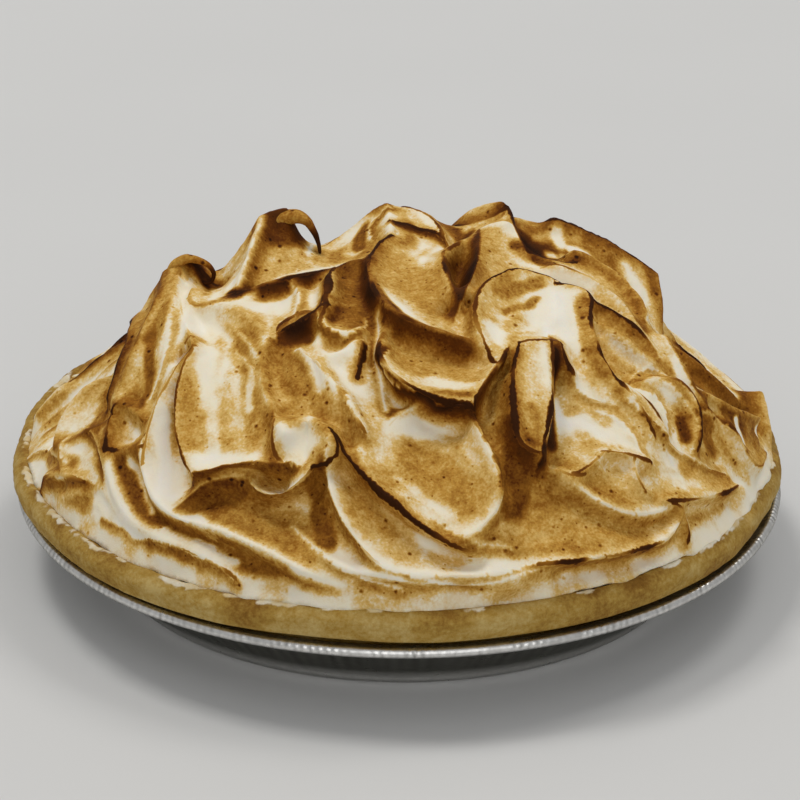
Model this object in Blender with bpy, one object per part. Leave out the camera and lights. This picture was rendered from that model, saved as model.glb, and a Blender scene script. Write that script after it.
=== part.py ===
"""Lemon meringue pie in its foil tin.

The tin and the crust are turned about the upright axis. The meringue is a
dome whose folds are short arcs of crest: the surface is held up along each
crest, sags between them like wet cloth, drops steeply on a crest's lee side
and leans over it. The pie is uncut, so the crust is solid under the
meringue.

The front of the pie faces -Y and its underside is at z = 0. Bearings are in
degrees, anticlockwise from +X. Lengths are in millimetres until the last
step, which writes metres.
"""
import math
from typing import NamedTuple

import bpy
import numpy as np
from mathutils import Vector
from mathutils.geometry import delaunay_2d_cdt

METRES = 0.001

# Foil tin
TIN_RADIUS = 122.0
TIN_BASE_RADIUS = 95.0
TIN_SHEET = 0.8
TIN_WALL_TOP_RADIUS = 115.6
TIN_WALL_TOP = 23.6
RIM_ROLL_RADIUS = 1.65
RIM_ROLL_HEIGHT = 25.1
ROLL_START = -130.0
ROLL_TURN = 260.0
ROLL_SIDES = 8
TURNED_SIDES = 72

# The tin's corners, as distances out and up: the base's from its radius and
# the table, the shelf's from the top of the wall
BASE_OUTSIDE = ((-3.0, 0.0), (-0.8, 0.7), (0.0, 2.2))
SHELF_OUTSIDE = ((0.0, 0.0), (1.2, 0.9))
SHELF_INSIDE = ((0.6, 1.86), (-TIN_SHEET, 0.5))
BASE_INSIDE = ((-TIN_SHEET, 2.6), (-1.6, 1.3), (-3.4, TIN_SHEET))

# Pastry crust
GAP = 0.35
DRAFT_GAP = 0.1
CRUST_BELLY_RADIUS = 122.6
CRUST_BELLY_HEIGHT = 32.4
CRUST_FLOOR_HEIGHT = 30.0
FOOT_SHIFT = -2.4
BELLY_SHIFT = -1.0
SLACK_BEARING = -30.0
SLACK_WIDTH = 2.4
CRUST_WAVES = ((5, 0.40, 0.6), (9, 0.30, 2.1), (14, 0.20, 4.0))
CRUST_SWELL_SHARE = 0.6

# The crust's corners, as distances out and up: from the foot of its wall,
# from the tin's wall top, and round the rim from the belly
CRUST_BASE = ((-3.0, 0.0), (-0.9, 0.7), (0.0, 1.65))
CRUST_WALL_TOP = ((0.0, 0.6), (0.5, 2.8))
CRUST_RIM = ((-5.0, -5.1), (-1.4, -3.5), (0.0, 0.0), (-0.7, 3.0), (-3.3, 5.0), (-5.9, 3.8),
             (-9.1, 0.6), (-13.1, -2.4))
RIM_BELLY = 2
RIM_CREST = 4

# Meringue dome
LIP_RADIUS = 118.5
LIP_HEIGHT = 39.0
DOME_HEIGHT = 103.0
ROUNDNESS = 2.6
PEAKEDNESS = 1.4
UNDER_LIP = (0.2, -1.6)
ABOVE_SEAT = (7.0, 6.6)
SEAT_RADIUS = 108.0
SEAT_HEIGHT = 30.4

# How the surface hangs between crests, and how a crest leans
GRID_STEP = 1.0
SAG_ROUNDS = ((4, 500), (2, 260), (1, 260))
RESTING_LIFT = -5.0
SAG_RATE = 0.085
SAG_REACH = 16.0
CREST_STRIP = 2.0
VALLEY_OFFSET = 3.0
VALLEY_SPREAD = 0.25
VALLEY_STRENGTH = 0.3
LEE_WIDTH = 5.5
BACK_WIDTH = 10.0
LEAN_SHARE = 0.7
LEAN_STEP = 2.0
FADE_SHARE = 0.35
MESH_STEP = 4.6
CROWD_SHARE = 0.6


class Fold(NamedTuple):
    """One crest: an arc over the dome between two (bearing, reach) places.

    Reach is measured over the dome from its top. Bow is the arc's height to
    the left of travel. Rise is how far the crest stands off the dome at each
    end and hump how much more halfway. Fade sinks an end into the surface.
    Lee names the steep side, 1 for left and -1 for right.
    """
    start: tuple
    end: tuple
    bow: float = 0.0
    rise: tuple = (0.0, 0.0)
    fade: tuple = (0.0, 0.0)
    lee: int = 0
    drop: float = 0.0
    lean: float = 0.0
    hump: float = 0.0


class Crest(NamedTuple):
    """A fold's crest as points, with its left side, height and strength."""
    along: np.ndarray
    points: np.ndarray
    left: np.ndarray
    height: np.ndarray
    strength: np.ndarray


LEFT_PEAK = [
    Fold((180, 92), (183, 65), 1, rise=(-9, 8), hump=2),
    Fold((183, 65), (186, 61), 0, rise=(8, -5)),
    Fold((186, 61), (189, 57), 0, rise=(-5, -6)),
    Fold((185, 66), (221, 81), -3, rise=(1, 5), hump=0, lee=1, drop=6, lean=1),
    Fold((182, 74), (210, 107), 7, rise=(5, 2), hump=2, lee=-1, drop=4, lean=1, fade=(0, 2)),
    Fold((183, 70), (206, 92), 5, rise=(6, 2), hump=1, lee=-1, drop=2, fade=(0, 1)),
    Fold((184, 67), (215, 94), 2, rise=(7, 2), hump=1, lee=-1, drop=3, fade=(0, 2)),
    Fold((188, 69), (221, 105), 8, rise=(3, 1), hump=1, fade=(2, 2)),
    Fold((180, 93), (207, 108), 7, rise=(-5, 0), hump=3, lee=-1, drop=7, lean=2),
    Fold((221, 81), (226, 118), -4, rise=(4, 1), lee=1, drop=3),
    Fold((179, 96), (180, 123), 0, rise=(-10, -6)),
    Fold((180, 123), (180, 144), 0, rise=(-6, -1), hump=2),
    Fold((197, 106), (203, 130), -6, rise=(-3, 1), hump=1),
    Fold((216, 103), (203, 130), 2, rise=(0, 1), hump=-1, lee=-1, drop=3),
]

LEFT_BASE = [
    Fold((204, 128), (215, 132), -4, rise=(1, 1), lee=-1, drop=3),
    Fold((203, 143), (215, 132), 2, rise=(1, 1)),
    Fold((206, 142), (217, 130), -4, rise=(0, 1), fade=(1, 2)),
    Fold((217, 121), (233, 136), -5, rise=(1, 1)),
    Fold((233, 136), (248, 142), 1, rise=(1, 1)),
    Fold((216, 120), (220, 107), 12, rise=(1, 1), hump=1, lee=-1, drop=5, lean=1),
    Fold((216, 120), (224, 114), -1, rise=(0, 1)),
]

BIG_SCOOP = [
    Fold((221, 81), (236, 115), -6.5, rise=(4, 3), lee=-1, drop=9, lean=4),
    Fold((236, 115), (252, 105), -2, rise=(3, 4), hump=1, lee=-1, drop=12, lean=5),
    Fold((210, 65), (234, 68), 3, rise=(2, 1)),
    Fold((234, 68), (246, 92), -3, rise=(2, 3), hump=-1, lee=1, drop=4, lean=1),
    Fold((243, 66), (254, 86), 2, rise=(0, 1), fade=(1, 1)),
    Fold((197, 66), (210, 64), -6, rise=(4, 2), lee=-1, drop=3),
    Fold((243, 114), (235, 126), -2, rise=(0, 0), lee=1, drop=4),
]

CURLED_LIP = [
    Fold((247, 95), (258, 96), 1, rise=(4, 5), lee=1, drop=6, lean=1),
    Fold((258, 96), (256, 106), 6, rise=(5, 4), lee=1, drop=8, lean=2),
    Fold((256, 106), (244, 112), 8, rise=(4, 2), lee=1, drop=10, lean=3, fade=(0, 2)),
    Fold((247, 95), (252, 106), -2, rise=(4, 2), fade=(0, 2), lee=-1, drop=4, lean=1),
    Fold((249, 97), (251, 99), 0, rise=(7, 7)),
    Fold((258, 99), (257, 103), 0, rise=(7, 6)),
    Fold((253, 93), (254, 103), 0, rise=(1, 0)),
]

LONG_DIAGONAL = [
    Fold((258, 96), (270, 115), -3, rise=(3, 3), lee=-1, drop=8, lean=3),
    Fold((270, 115), (286, 131), -6, rise=(3, 1), lee=-1, drop=7, lean=3, fade=(0, 2)),
]

TONGUES = [
    Fold((282, 86), (286, 115), 2, rise=(1, 3), lee=1, drop=6, lean=2),
    Fold((286, 115), (277, 121), 5, rise=(3, 1), lee=1, drop=5, fade=(0, 3)),
    Fold((268, 90), (282, 86), 4, rise=(-3, 0)),
    Fold((258, 105), (268, 132), -5, rise=(1, 3), hump=1, lee=-1, drop=6, lean=2),
    Fold((268, 132), (286, 136), -4, rise=(3, 1), lee=-1, drop=6, lean=2),
    Fold((289, 96), (286, 121), -1, rise=(0, -2), fade=(2, 3)),
]

BASE_RIDGES = [
    Fold((224, 114), (238, 129), -6, rise=(1, 2), lee=-1, drop=5, lean=1),
    Fold((238, 129), (256, 136), 0, rise=(2, 2), hump=1, lee=-1, drop=6, lean=1),
    Fold((256, 136), (265, 140), -1, rise=(2, 0), fade=(0, 2)),
    Fold((254, 130), (280, 137), -6, rise=(0, 1), hump=2, fade=(2, 2), lee=-1, drop=4, lean=1),
    Fold((280, 142), (293, 137), -1, rise=(1, 1), fade=(2, 1), lee=-1, drop=3),
]

POCKET = [
    Fold((264, 53), (283, 87), -12, rise=(1, 4), hump=2, lee=-1, drop=12, lean=5, fade=(3, 0)),
    Fold((284, 86), (302, 68), 0, rise=(4, 5), fade=(0, 2), lee=-1, drop=11, lean=5),
]

TOP_FOLDS = [
    Fold((197, 3), (264, 46), -6, rise=(4, 4), lee=-1, drop=6, lean=1),
    Fold((264, 46), (288, 62), -5, rise=(4, 3), hump=1, lee=-1, drop=9, lean=2),
    Fold((142, 25), (103, 20), 0, rise=(-3, 7), hump=1, lee=1, drop=8),
    Fold((103, 20), (61, 30), 1, rise=(7, -4), lee=1, drop=8),
    Fold((103, 20), (146, 4), 0, rise=(7, 4)),
    Fold((89, 20), (26, 14), 3, rise=(6, 2), lee=1, drop=3),
    Fold((313, 18), (292, 47), -1, rise=(3, 3), lee=1, drop=9, lean=1),
    Fold((292, 47), (12, 24), -2, rise=(3, 3), hump=2, lee=1, drop=9, lean=1),
    Fold((313, 18), (12, 24), 0, rise=(3, 3)),
    Fold((58, 28), (23, 35), 2, rise=(-4, 11), hump=3, lee=1, drop=12),
    Fold((23, 35), (350, 39), 0, rise=(11, 4), hump=-1, lee=1, drop=10, lean=1),
    Fold((350, 39), (355, 54), -2, rise=(4, 2), hump=-1, lee=1, drop=5),
    Fold((12, 24), (5, 31), 0, rise=(4, 9)),
]

RIGHT_DOME = [
    Fold((292, 62), (324, 43), 6, rise=(3, 6), hump=1, lee=1, drop=6, lean=2),
    Fold((324, 43), (332, 54), 2, rise=(6, 4), lee=1, drop=5, lean=1),
    Fold((330, 54), (329, 66), 6, rise=(4, 4), lee=1, drop=5, lean=1),
    Fold((329, 66), (318, 97), -5, rise=(4, 2), lee=1, drop=6, lean=1),
    Fold((318, 97), (318, 114), 0, rise=(2, 0), fade=(0, 2), lee=1, drop=4),
    Fold((292, 62), (290, 70), 0, rise=(3, 1)),
    Fold((330, 54), (314, 66), 0, rise=(3, 1), fade=(0, 2)),
]

TOOTH = [
    Fold((300, 69), (291, 96), -2, rise=(4, 4), lee=-1, drop=6, lean=1),
    Fold((291, 96), (294, 105), -3, rise=(4, 4), lee=-1, drop=6, lean=1),
    Fold((294, 105), (309, 70), -2, rise=(4, 3), hump=-1, lee=-1, drop=9, lean=2),
    Fold((300, 69), (311, 72), 1, rise=(4, 3)),
    Fold((305, 72), (296, 99), 0, rise=(3, 4)),
    Fold((311, 72), (310, 82), -1, rise=(3, 1), lee=1, drop=4),
]

RIGHT_FACET = [
    Fold((290, 135), (310, 138), -3, rise=(2, 2), hump=1, lee=-1, drop=7, lean=2),
    Fold((310, 138), (316, 132), -2, rise=(2, 2), lee=-1, drop=4),
    Fold((314, 128), (316, 141), 3, rise=(2, 1), lee=-1, drop=3),
    Fold((314, 128), (332, 136), -3, rise=(2, 1), lee=-1, drop=5, lean=1),
    Fold((297, 110), (314, 130), -8, rise=(0, 0), hump=1, lee=-1, drop=4, lean=1),
    Fold((297, 110), (301, 113), -1, rise=(1, 1)),
    Fold((299, 112), (306, 108), -1, rise=(1, 2), lee=-1, drop=3),
    Fold((306, 108), (314, 116), 0, rise=(2, 2), lee=-1, drop=5, lean=1),
    Fold((311, 113), (312, 126), -3, rise=(1, 0), hump=1, fade=(0, 1)),
    Fold((324, 93), (326, 119), 12, rise=(1, 1), hump=2, lee=1, drop=4, lean=1),
    Fold((322, 97), (328, 108), 4, rise=(0, 1), fade=(1, 2), lee=-1, drop=2),
    Fold((318, 91), (320, 112), 3, rise=(2, 1), fade=(0, 1)),
]

RIGHT_SLAB = [
    Fold((25, 52), (14, 87), 2, rise=(7, 3), lee=1, drop=12, lean=1),
    Fold((14, 87), (3, 94), 0, rise=(3, -10), lee=1, drop=5),
    Fold((13, 97), (5, 108), 3, rise=(-9, -12), lee=1, drop=3),
    Fold((0, 52), (343, 80), 6, rise=(5, 3), lee=-1, drop=3, lean=1),
    Fold((342, 48), (338, 78), 3, rise=(4, 3), hump=1, lee=-1, drop=3),
    Fold((332, 65), (334, 89), 2, rise=(4, 1), hump=1, lee=-1, drop=4),
    Fold((327, 70), (332, 96), -1, rise=(3, 0), hump=1, fade=(1, 1), lee=-1, drop=3),
    Fold((340, 88), (336, 121), -5, rise=(3, 1), fade=(0, 3), lee=1, drop=4),
    Fold((9, 106), (4, 122), 2, rise=(-10, -9), hump=0, lee=1, drop=4),
    Fold((4, 106), (0, 133), -1, rise=(-12, 0), hump=-2),
    Fold((355, 95), (358, 130), -6, rise=(-8, -5), hump=2, lee=-1, drop=4, lean=1),
    Fold((2, 131), (356, 143), -1, rise=(3, 0)),
    Fold((346, 138), (338, 120), 10, rise=(1, 1), lee=1, drop=3),
    Fold((335, 104), (350, 130), -4, rise=(2, 2), fade=(1, 0)),
]

HOOD = [
    Fold((182, 60), (175, 43), 0, rise=(-5, 11), hump=-1),
    Fold((175, 43), (171, 34), 1, rise=(11, 13), lee=-1, drop=5),
    Fold((166, 29), (186, 29), 0, rise=(-2, -1)),
    Fold((206, 56), (176, 42), -1, rise=(1, 10), hump=1, lee=-1, drop=5, lean=1),
    Fold((208, 57), (224, 28), -3, rise=(1, 1), hump=1, lee=-1, drop=5, lean=1),
    Fold((212, 64), (212, 54), -2, rise=(2, 0)),
]

CENTRE_LEFT = [
    Fold((236, 63), (244, 50), -1, rise=(2, 3), lee=-1, drop=5, lean=1),
    Fold((244, 50), (226, 29), 1, rise=(3, 2), hump=1, lee=1, drop=4),
    Fold((244, 50), (260, 56), -9, rise=(3, 1), lee=-1, drop=5, lean=1),
    Fold((246, 58), (259, 62), -11, rise=(0, 1)),
    Fold((244, 68), (264, 94), 0, rise=(2, 2), hump=1, lee=1, drop=4),
    Fold((222, 42), (236, 58), 1, rise=(1, 0), fade=(1, 1)),
    Fold((224, 28), (238, 22), 1, rise=(1, 3), lee=-1, drop=3),
    Fold((260, 57), (260, 74), 0, rise=(-1, -2), fade=(1, 0)),
    Fold((262, 47), (267, 84), -1, rise=(-3, -4)),
]

BACK_FOLDS = [
    Fold((23, 35), (30, 72), 6, rise=(6, -4), lee=1, drop=6, lean=2),
    Fold((30, 72), (22, 112), -8, rise=(-4, -10), lee=1, drop=7, lean=2),
    Fold((22, 112), (8, 138), 6, rise=(-10, -2), lee=1, drop=5),
    Fold((30, 72), (52, 98), 8, rise=(-4, -6), lee=-1, drop=8, lean=3),
    Fold((52, 98), (40, 128), 9, rise=(-6, -6), lee=1, drop=8, lean=3),
    Fold((40, 128), (20, 132), 5, rise=(-6, -5), lee=1, drop=4, fade=(0, 3)),
    Fold((58, 28), (56, 80), -7, rise=(-4, -5), lee=1, drop=8, lean=3),
    Fold((56, 80), (70, 118), -9, rise=(-5, -4), lee=1, drop=7, lean=2),
    Fold((70, 118), (54, 136), 8, rise=(-4, -2), lee=1, drop=6, lean=2),
    Fold((61, 30), (84, 64), 6, rise=(-4, -5), lee=-1, drop=5, lean=1),
    Fold((84, 64), (92, 104), -10, rise=(-5, -4), lee=1, drop=9, lean=3),
    Fold((92, 104), (77, 131), 8, rise=(-4, -2), lee=1, drop=7, lean=2),
    Fold((77, 131), (64, 138), 3, rise=(-2, 0), fade=(0, 2)),
    Fold((84, 64), (110, 86), 9, rise=(-5, -12), lee=-1, drop=7, lean=2),
    Fold((110, 86), (112, 122), -9, rise=(-12, -5), lee=1, drop=8, lean=3),
    Fold((112, 122), (94, 137), 6, rise=(-4, -1), lee=1, drop=5, lean=1),
    Fold((103, 20), (122, 48), 5, rise=(7, -13), hump=-4, lee=1, drop=4, lean=1),
    Fold((122, 48), (110, 86), 7, rise=(-13, -13), lee=1, drop=7, lean=2),
    Fold((122, 48), (142, 76), 8, rise=(-12, -11), lee=-1, drop=7, lean=3),
    Fold((142, 76), (136, 116), -8, rise=(-10, -7), lee=1, drop=8, lean=3),
    Fold((136, 116), (118, 136), 8, rise=(-7, -2), lee=1, drop=6, lean=2),
    Fold((142, 76), (162, 94), 6, rise=(-10, -14), lee=-1, drop=6, lean=2),
    Fold((162, 94), (160, 128), -7, rise=(-14, -9), lee=1, drop=7, lean=2),
    Fold((160, 128), (144, 138), 5, rise=(-9, -3), fade=(0, 2)),
    Fold((183, 65), (164, 72), -4, rise=(7, -12), hump=-4, lee=-1, drop=4),
    Fold((164, 72), (162, 94), 3, rise=(-12, -14)),
    Fold((179, 96), (170, 118), -6, rise=(-10, -12), lee=1, drop=4),
    Fold((170, 118), (166, 136), 3, rise=(-12, -5), lee=1, drop=4),
    Fold((23, 35), (58, 28), 4, rise=(8, -4), lee=-1, drop=5),
    Fold((142, 25), (160, 44), 6, rise=(-3, -8), lee=-1, drop=5),
    Fold((160, 44), (122, 48), 7, rise=(-8, -12), lee=-1, drop=5, lean=2),
]

FOLDS = (LEFT_PEAK + LEFT_BASE + BIG_SCOOP + CURLED_LIP + LONG_DIAGONAL + TONGUES + BASE_RIDGES + POCKET
         + TOP_FOLDS + RIGHT_DOME + TOOTH + RIGHT_FACET + RIGHT_SLAB + HOOD + CENTRE_LEFT + BACK_FOLDS)


# Dome

def spot(bearing, reach):
    """Flat plan point of a place on the dome."""
    angle = math.radians(bearing)
    return np.array([reach * math.cos(angle), reach * math.sin(angle)])


def dome_profile():
    """Radius and height along the dome from its top to the lip, then under the lip to the seat."""
    turn = np.linspace(0.0, math.pi / 2, 600)
    radius = LIP_RADIUS * np.sin(turn) ** (2 / ROUNDNESS)
    height = LIP_HEIGHT + (DOME_HEIGHT - LIP_HEIGHT) * np.cos(turn) ** (2 / PEAKEDNESS)
    lip_index = len(turn) - 1
    s = np.linspace(0.0, 1.0, 60)[1:]
    lip = np.array([LIP_RADIUS, LIP_HEIGHT])
    seat = np.array([SEAT_RADIUS, SEAT_HEIGHT])
    corners = np.array([lip, lip + UNDER_LIP, seat + ABOVE_SEAT, seat])
    weights = np.stack([(1 - s) ** 3, 3 * s * (1 - s) ** 2, 3 * s * s * (1 - s), s ** 3], axis=1)
    under = weights @ corners
    radius = np.concatenate([radius, under[:, 0]])
    height = np.concatenate([height, under[:, 1]])
    reach = np.concatenate([[0.0], np.cumsum(np.hypot(np.diff(radius), np.diff(height)))])
    return reach, radius, height, reach[lip_index]


REACH, RADIUS, HEIGHT, LIP_REACH = dome_profile()
SEAT_REACH = REACH[-1]
SLOPE_R = np.gradient(RADIUS, REACH)
SLOPE_Z = np.gradient(HEIGHT, REACH)


def on_dome(plan, lift):
    """Places plan points on the dome, lifted off it along its normal."""
    reach = np.hypot(plan[:, 0], plan[:, 1])
    outward = plan / np.maximum(reach, 1e-6)[:, None]
    slope_r = np.interp(reach, REACH, SLOPE_R)
    slope_z = np.interp(reach, REACH, SLOPE_Z)
    size = np.hypot(slope_r, slope_z)
    radius = np.interp(reach, REACH, RADIUS) - slope_z / size * lift
    height = np.interp(reach, REACH, HEIGHT) + slope_r / size * lift
    return np.column_stack([outward * radius[:, None], height])


# Folds

def ease(x):
    return x * x * (3 - 2 * x)


def crest_line(fold, step):
    """Points along a fold's crest about one step apart."""
    first = spot(*fold.start)
    chord = spot(*fold.end) - first
    length = math.hypot(*chord)
    side = np.array([-chord[1], chord[0]]) / length
    # a leaning crest stands back from its arc, and leans onto it
    bow = fold.bow - LEAN_SHARE * fold.lee * fold.lean
    count = max(3, round(math.hypot(length, 2 * bow) / step) + 1)
    along = np.linspace(0.0, 1.0, count)
    bulge = 4 * along * (1 - along)
    points = first + np.outer(along, chord) + np.outer(bulge * bow, side)
    heading = np.gradient(points, axis=0)
    heading /= np.hypot(heading[:, 0], heading[:, 1])[:, None]
    left = np.stack([-heading[:, 1], heading[:, 0]], axis=1)
    height = fold.rise[0] + (fold.rise[1] - fold.rise[0]) * along + fold.hump * bulge
    strength = np.ones(count)
    for sink, distance in zip(fold.fade, (along, 1 - along)):
        near = ease(np.clip(1 - distance / FADE_SHARE, 0, 1))
        height -= sink * near
        if sink > 0:
            strength *= 1 - near
    return Crest(along, points, left, height, strength)


def held_cells(folds, size, half, reach):
    """Marks the grid cells that crests and lee valleys hold, with their heights."""
    count = len(reach)
    free = reach < LIP_REACH - 0.5 * size
    held = ~free
    height = np.zeros(reach.shape)
    crests = [crest_line(fold, size * 0.6) for fold in folds]

    def cells(points):
        found = np.rint((points + half) / size).astype(int)
        return np.clip(found, 0, count - 1)

    for fold, crest in zip(folds, crests):
        if fold.drop > 0:
            strong = crest.strength > VALLEY_STRENGTH
            offset = fold.lee * (VALLEY_OFFSET + VALLEY_SPREAD * fold.drop)
            valley = cells((crest.points + crest.left * offset)[strong])
            for (i, j), value in zip(valley, (crest.height - fold.drop * crest.strength)[strong]):
                if free[i, j]:
                    held[i, j] = True
                    height[i, j] = value
    # a strip beside every crest is let go, so that no valley cuts through a crest
    margin = max(1, round(CREST_STRIP / size))
    for crest in crests:
        for i, j in cells(crest.points):
            block = (slice(max(i - margin, 0), i + margin + 1), slice(max(j - margin, 0), j + margin + 1))
            held[block] &= ~free[block]
            height[block] = np.where(free[block], -np.inf, height[block])
    for crest in crests:
        for (i, j), value in zip(cells(crest.points), crest.height):
            if free[i, j]:
                held[i, j] = True
                height[i, j] = max(height[i, j], value)
    height[~held] = 0.0
    return held, height


def enlarge(old_axis, old, axis):
    """Reads a coarse square grid at a finer one's places."""
    place = (axis - old_axis[0]) / (old_axis[1] - old_axis[0])
    low = np.clip(np.floor(place).astype(int), 0, len(old_axis) - 2)
    share = place - low
    rows = old[low] * (1 - share)[:, None] + old[low + 1] * share[:, None]
    return rows[:, low] * (1 - share) + rows[:, low + 1] * share


def sagging_surface(folds):
    """Lift off the dome on a square grid: held along the crests, sagging between them."""
    half = math.ceil(SEAT_REACH) + 2.0
    axis = None
    lift = None
    for cells, rounds in SAG_ROUNDS:
        size = cells * GRID_STEP
        new_axis = np.arange(-half, half + size / 2, size)
        across, along = np.meshgrid(new_axis, new_axis, indexing="ij")
        held, height = held_cells(folds, size, half, np.hypot(across, along))
        start = np.full(held.shape, RESTING_LIFT) if lift is None else enlarge(axis, lift, new_axis)
        lift = np.where(held, height, start)
        axis = new_axis
        stiffness = 4.0 + (size / SAG_REACH) ** 2
        for _ in range(rounds):
            near = lift[2:, 1:-1] + lift[:-2, 1:-1] + lift[1:-1, 2:] + lift[1:-1, :-2]
            inner = (near - SAG_RATE * size * size) / stiffness
            lift[1:-1, 1:-1] = np.where(held[1:-1, 1:-1], lift[1:-1, 1:-1], inner)
    # crests are rounded over about a millimetre
    for _ in range(2):
        beside = lift[2:, 1:-1] + lift[:-2, 1:-1] + lift[1:-1, 2:] + lift[1:-1, :-2]
        corner = lift[2:, 2:] + lift[2:, :-2] + lift[:-2, 2:] + lift[:-2, :-2]
        lift[1:-1, 1:-1] = (4 * lift[1:-1, 1:-1] + 2 * beside + corner) / 16
    return axis, lift


def read_lift(axis, lift, plan):
    """Lift at plan points, between the grid's cells."""
    place = (plan - axis[0]) / (axis[1] - axis[0])
    low = np.clip(np.floor(place).astype(int), 0, len(axis) - 2)
    share = place - low
    i, j = low.T
    u, v = share.T
    return (lift[i, j] * (1 - u) * (1 - v) + lift[i + 1, j] * u * (1 - v)
            + lift[i, j + 1] * (1 - u) * v + lift[i + 1, j + 1] * u * v)


def lean(folds, plan):
    """Sideways shift of plan points that leans each crest over its lee side."""
    shift = np.zeros_like(plan)
    for fold in folds:
        if fold.lean == 0:
            continue
        crest = crest_line(fold, LEAN_STEP)
        apart = plan[:, None] - crest.points[None]
        distance = np.hypot(apart[..., 0], apart[..., 1])
        nearest = distance.argmin(axis=1)
        distance = distance.min(axis=1)
        left = crest.left[nearest]
        downwind = ((plan - crest.points[nearest]) * left).sum(axis=1) * fold.lee
        width = np.where(downwind > 0, LEE_WIDTH, BACK_WIDTH)
        taper = np.sqrt(np.sin(math.pi * np.clip(crest.along[nearest], 0.02, 0.98)))
        amount = LEAN_SHARE * fold.lean * np.exp(-(distance / width) ** 2) * taper * crest.strength[nearest]
        shift += left * (fold.lee * amount)[:, None]
    return shift


# Meshes

def plan_mesh(folds, step):
    """Triangles over the flat plan, with each crest, the lip and the seat kept as edges."""
    points = []
    edges = []
    crest_heights = {}

    def add_line(line, closed):
        first = len(points)
        points.extend(map(tuple, line))
        last = len(line) if closed else len(line) - 1
        edges.extend((first + k, first + (k + 1) % len(line)) for k in range(last))

    sides = round(2 * math.pi * SEAT_REACH / step)
    angle = np.linspace(0, 2 * math.pi, sides, endpoint=False)
    circle = np.column_stack([np.cos(angle), np.sin(angle)])
    add_line(circle * SEAT_REACH, True)
    add_line(circle * LIP_REACH, True)
    for fold in folds:
        crest = crest_line(fold, step)
        inside = np.hypot(crest.points[:, 0], crest.points[:, 1]) < LIP_REACH - step * 0.5
        for k, height in enumerate(crest.height[inside]):
            crest_heights[len(points) + k] = height
        add_line(crest.points[inside], False)

    # the lattice leaves out points that crowd a line
    crowd = CROWD_SHARE * step
    taken = {}
    for x, y in points:
        taken.setdefault((int(x // crowd), int(y // crowd)), []).append((x, y))
    for row, y in enumerate(np.arange(-SEAT_REACH, SEAT_REACH, step * math.sqrt(3) / 2)):
        for x in np.arange(-SEAT_REACH + (row % 2) * step / 2, SEAT_REACH, step):
            if math.hypot(x, y) > SEAT_REACH - step / 2:
                continue
            i, j = int(x // crowd), int(y // crowd)
            beside = [p for di in (-1, 0, 1) for dj in (-1, 0, 1) for p in taken.get((i + di, j + dj), ())]
            if all(math.hypot(x - u, y - v) > crowd for u, v in beside):
                points.append((x, y))

    corners = [Vector(p) for p in points]
    found, _, faces, origins, _, _ = delaunay_2d_cdt(corners, edges, [], 1, 1e-3, True)
    plan = np.array([v[:] for v in found])
    crest_height = np.full(len(plan), np.nan)
    for k, olds in enumerate(origins):
        heights = [crest_heights[i] for i in olds if i in crest_heights]
        if heights:
            crest_height[k] = max(heights)
    return plan, [tuple(face) for face in faces], crest_height


def edge_loop(faces):
    """The mesh's open edge as an ordered loop of corners."""
    follow = {}
    for face in faces:
        for a, b in zip(face, face[1:] + face[:1]):
            follow[(a, b)] = True
    after = {a: b for a, b in follow if (b, a) not in follow}
    loop = [next(iter(after))]
    while after[loop[-1]] != loop[0]:
        loop.append(after[loop[-1]])
    return loop


def new_object(name, points, faces, material):
    mesh = bpy.data.meshes.new(name)
    mesh.from_pydata((np.asarray(points) * METRES).tolist(), [], faces)
    mesh.materials.append(material)
    mesh.shade_smooth()
    thing = bpy.data.objects.new(name, mesh)
    bpy.context.scene.collection.objects.link(thing)
    return thing


def turned(name, profile, shape, material):
    """A closed turned solid. The profile runs from the axis underneath, out, up and back to the axis."""
    angles = np.linspace(0, 2 * math.pi, TURNED_SIDES, endpoint=False)
    points = [(0.0, 0.0, profile[0][1])]
    for angle in angles:
        points.extend(shape(angle, index, *place) for index, place in enumerate(profile[1:-1]))
    points.append((0.0, 0.0, profile[-1][1]))
    rows = len(profile) - 2
    faces = []
    for side in range(TURNED_SIDES):
        here = 1 + side * rows
        there = 1 + (side + 1) % TURNED_SIDES * rows
        faces.append((0, there, here))
        faces.append((len(points) - 1, here + rows - 1, there + rows - 1))
        for k in range(rows - 1):
            faces.append((here + k, there + k, there + k + 1, here + k + 1))
    return new_object(name, points, faces, material)


def finish(name, colour, roughness, metallic):
    material = bpy.data.materials.new(name)
    material.use_nodes = True
    shader = material.node_tree.nodes["Principled BSDF"]
    shader.inputs["Base Color"].default_value = (*colour, 1.0)
    shader.inputs["Roughness"].default_value = roughness
    shader.inputs["Metallic"].default_value = metallic
    return material


# Pieces

def corners_at(radius, height, offsets):
    """Profile corners at distances out and up from a place."""
    return [(radius + out, height + up) for out, up in offsets]


def foil_tin(material):
    """Round tin with a sloping wall and a rolled rim."""
    roll = []
    for k in range(ROLL_SIDES):
        angle = math.radians(ROLL_START + ROLL_TURN * k / (ROLL_SIDES - 1))
        roll.append((TIN_RADIUS - RIM_ROLL_RADIUS + RIM_ROLL_RADIUS * math.cos(angle),
                     RIM_ROLL_HEIGHT + RIM_ROLL_RADIUS * math.sin(angle)))
    outside = (corners_at(TIN_BASE_RADIUS, 0.0, BASE_OUTSIDE)
               + corners_at(TIN_WALL_TOP_RADIUS, TIN_WALL_TOP, SHELF_OUTSIDE))
    inside = (corners_at(TIN_WALL_TOP_RADIUS, TIN_WALL_TOP, SHELF_INSIDE)
              + corners_at(TIN_BASE_RADIUS, 0.0, BASE_INSIDE))
    profile = [(0.0, 0.0)] + outside + roll + inside + [(0.0, TIN_SHEET)]

    def shape(angle, index, radius, height):
        return (radius * math.cos(angle), radius * math.sin(angle), height)

    return turned("foil_tin", profile, shape, material)


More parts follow.
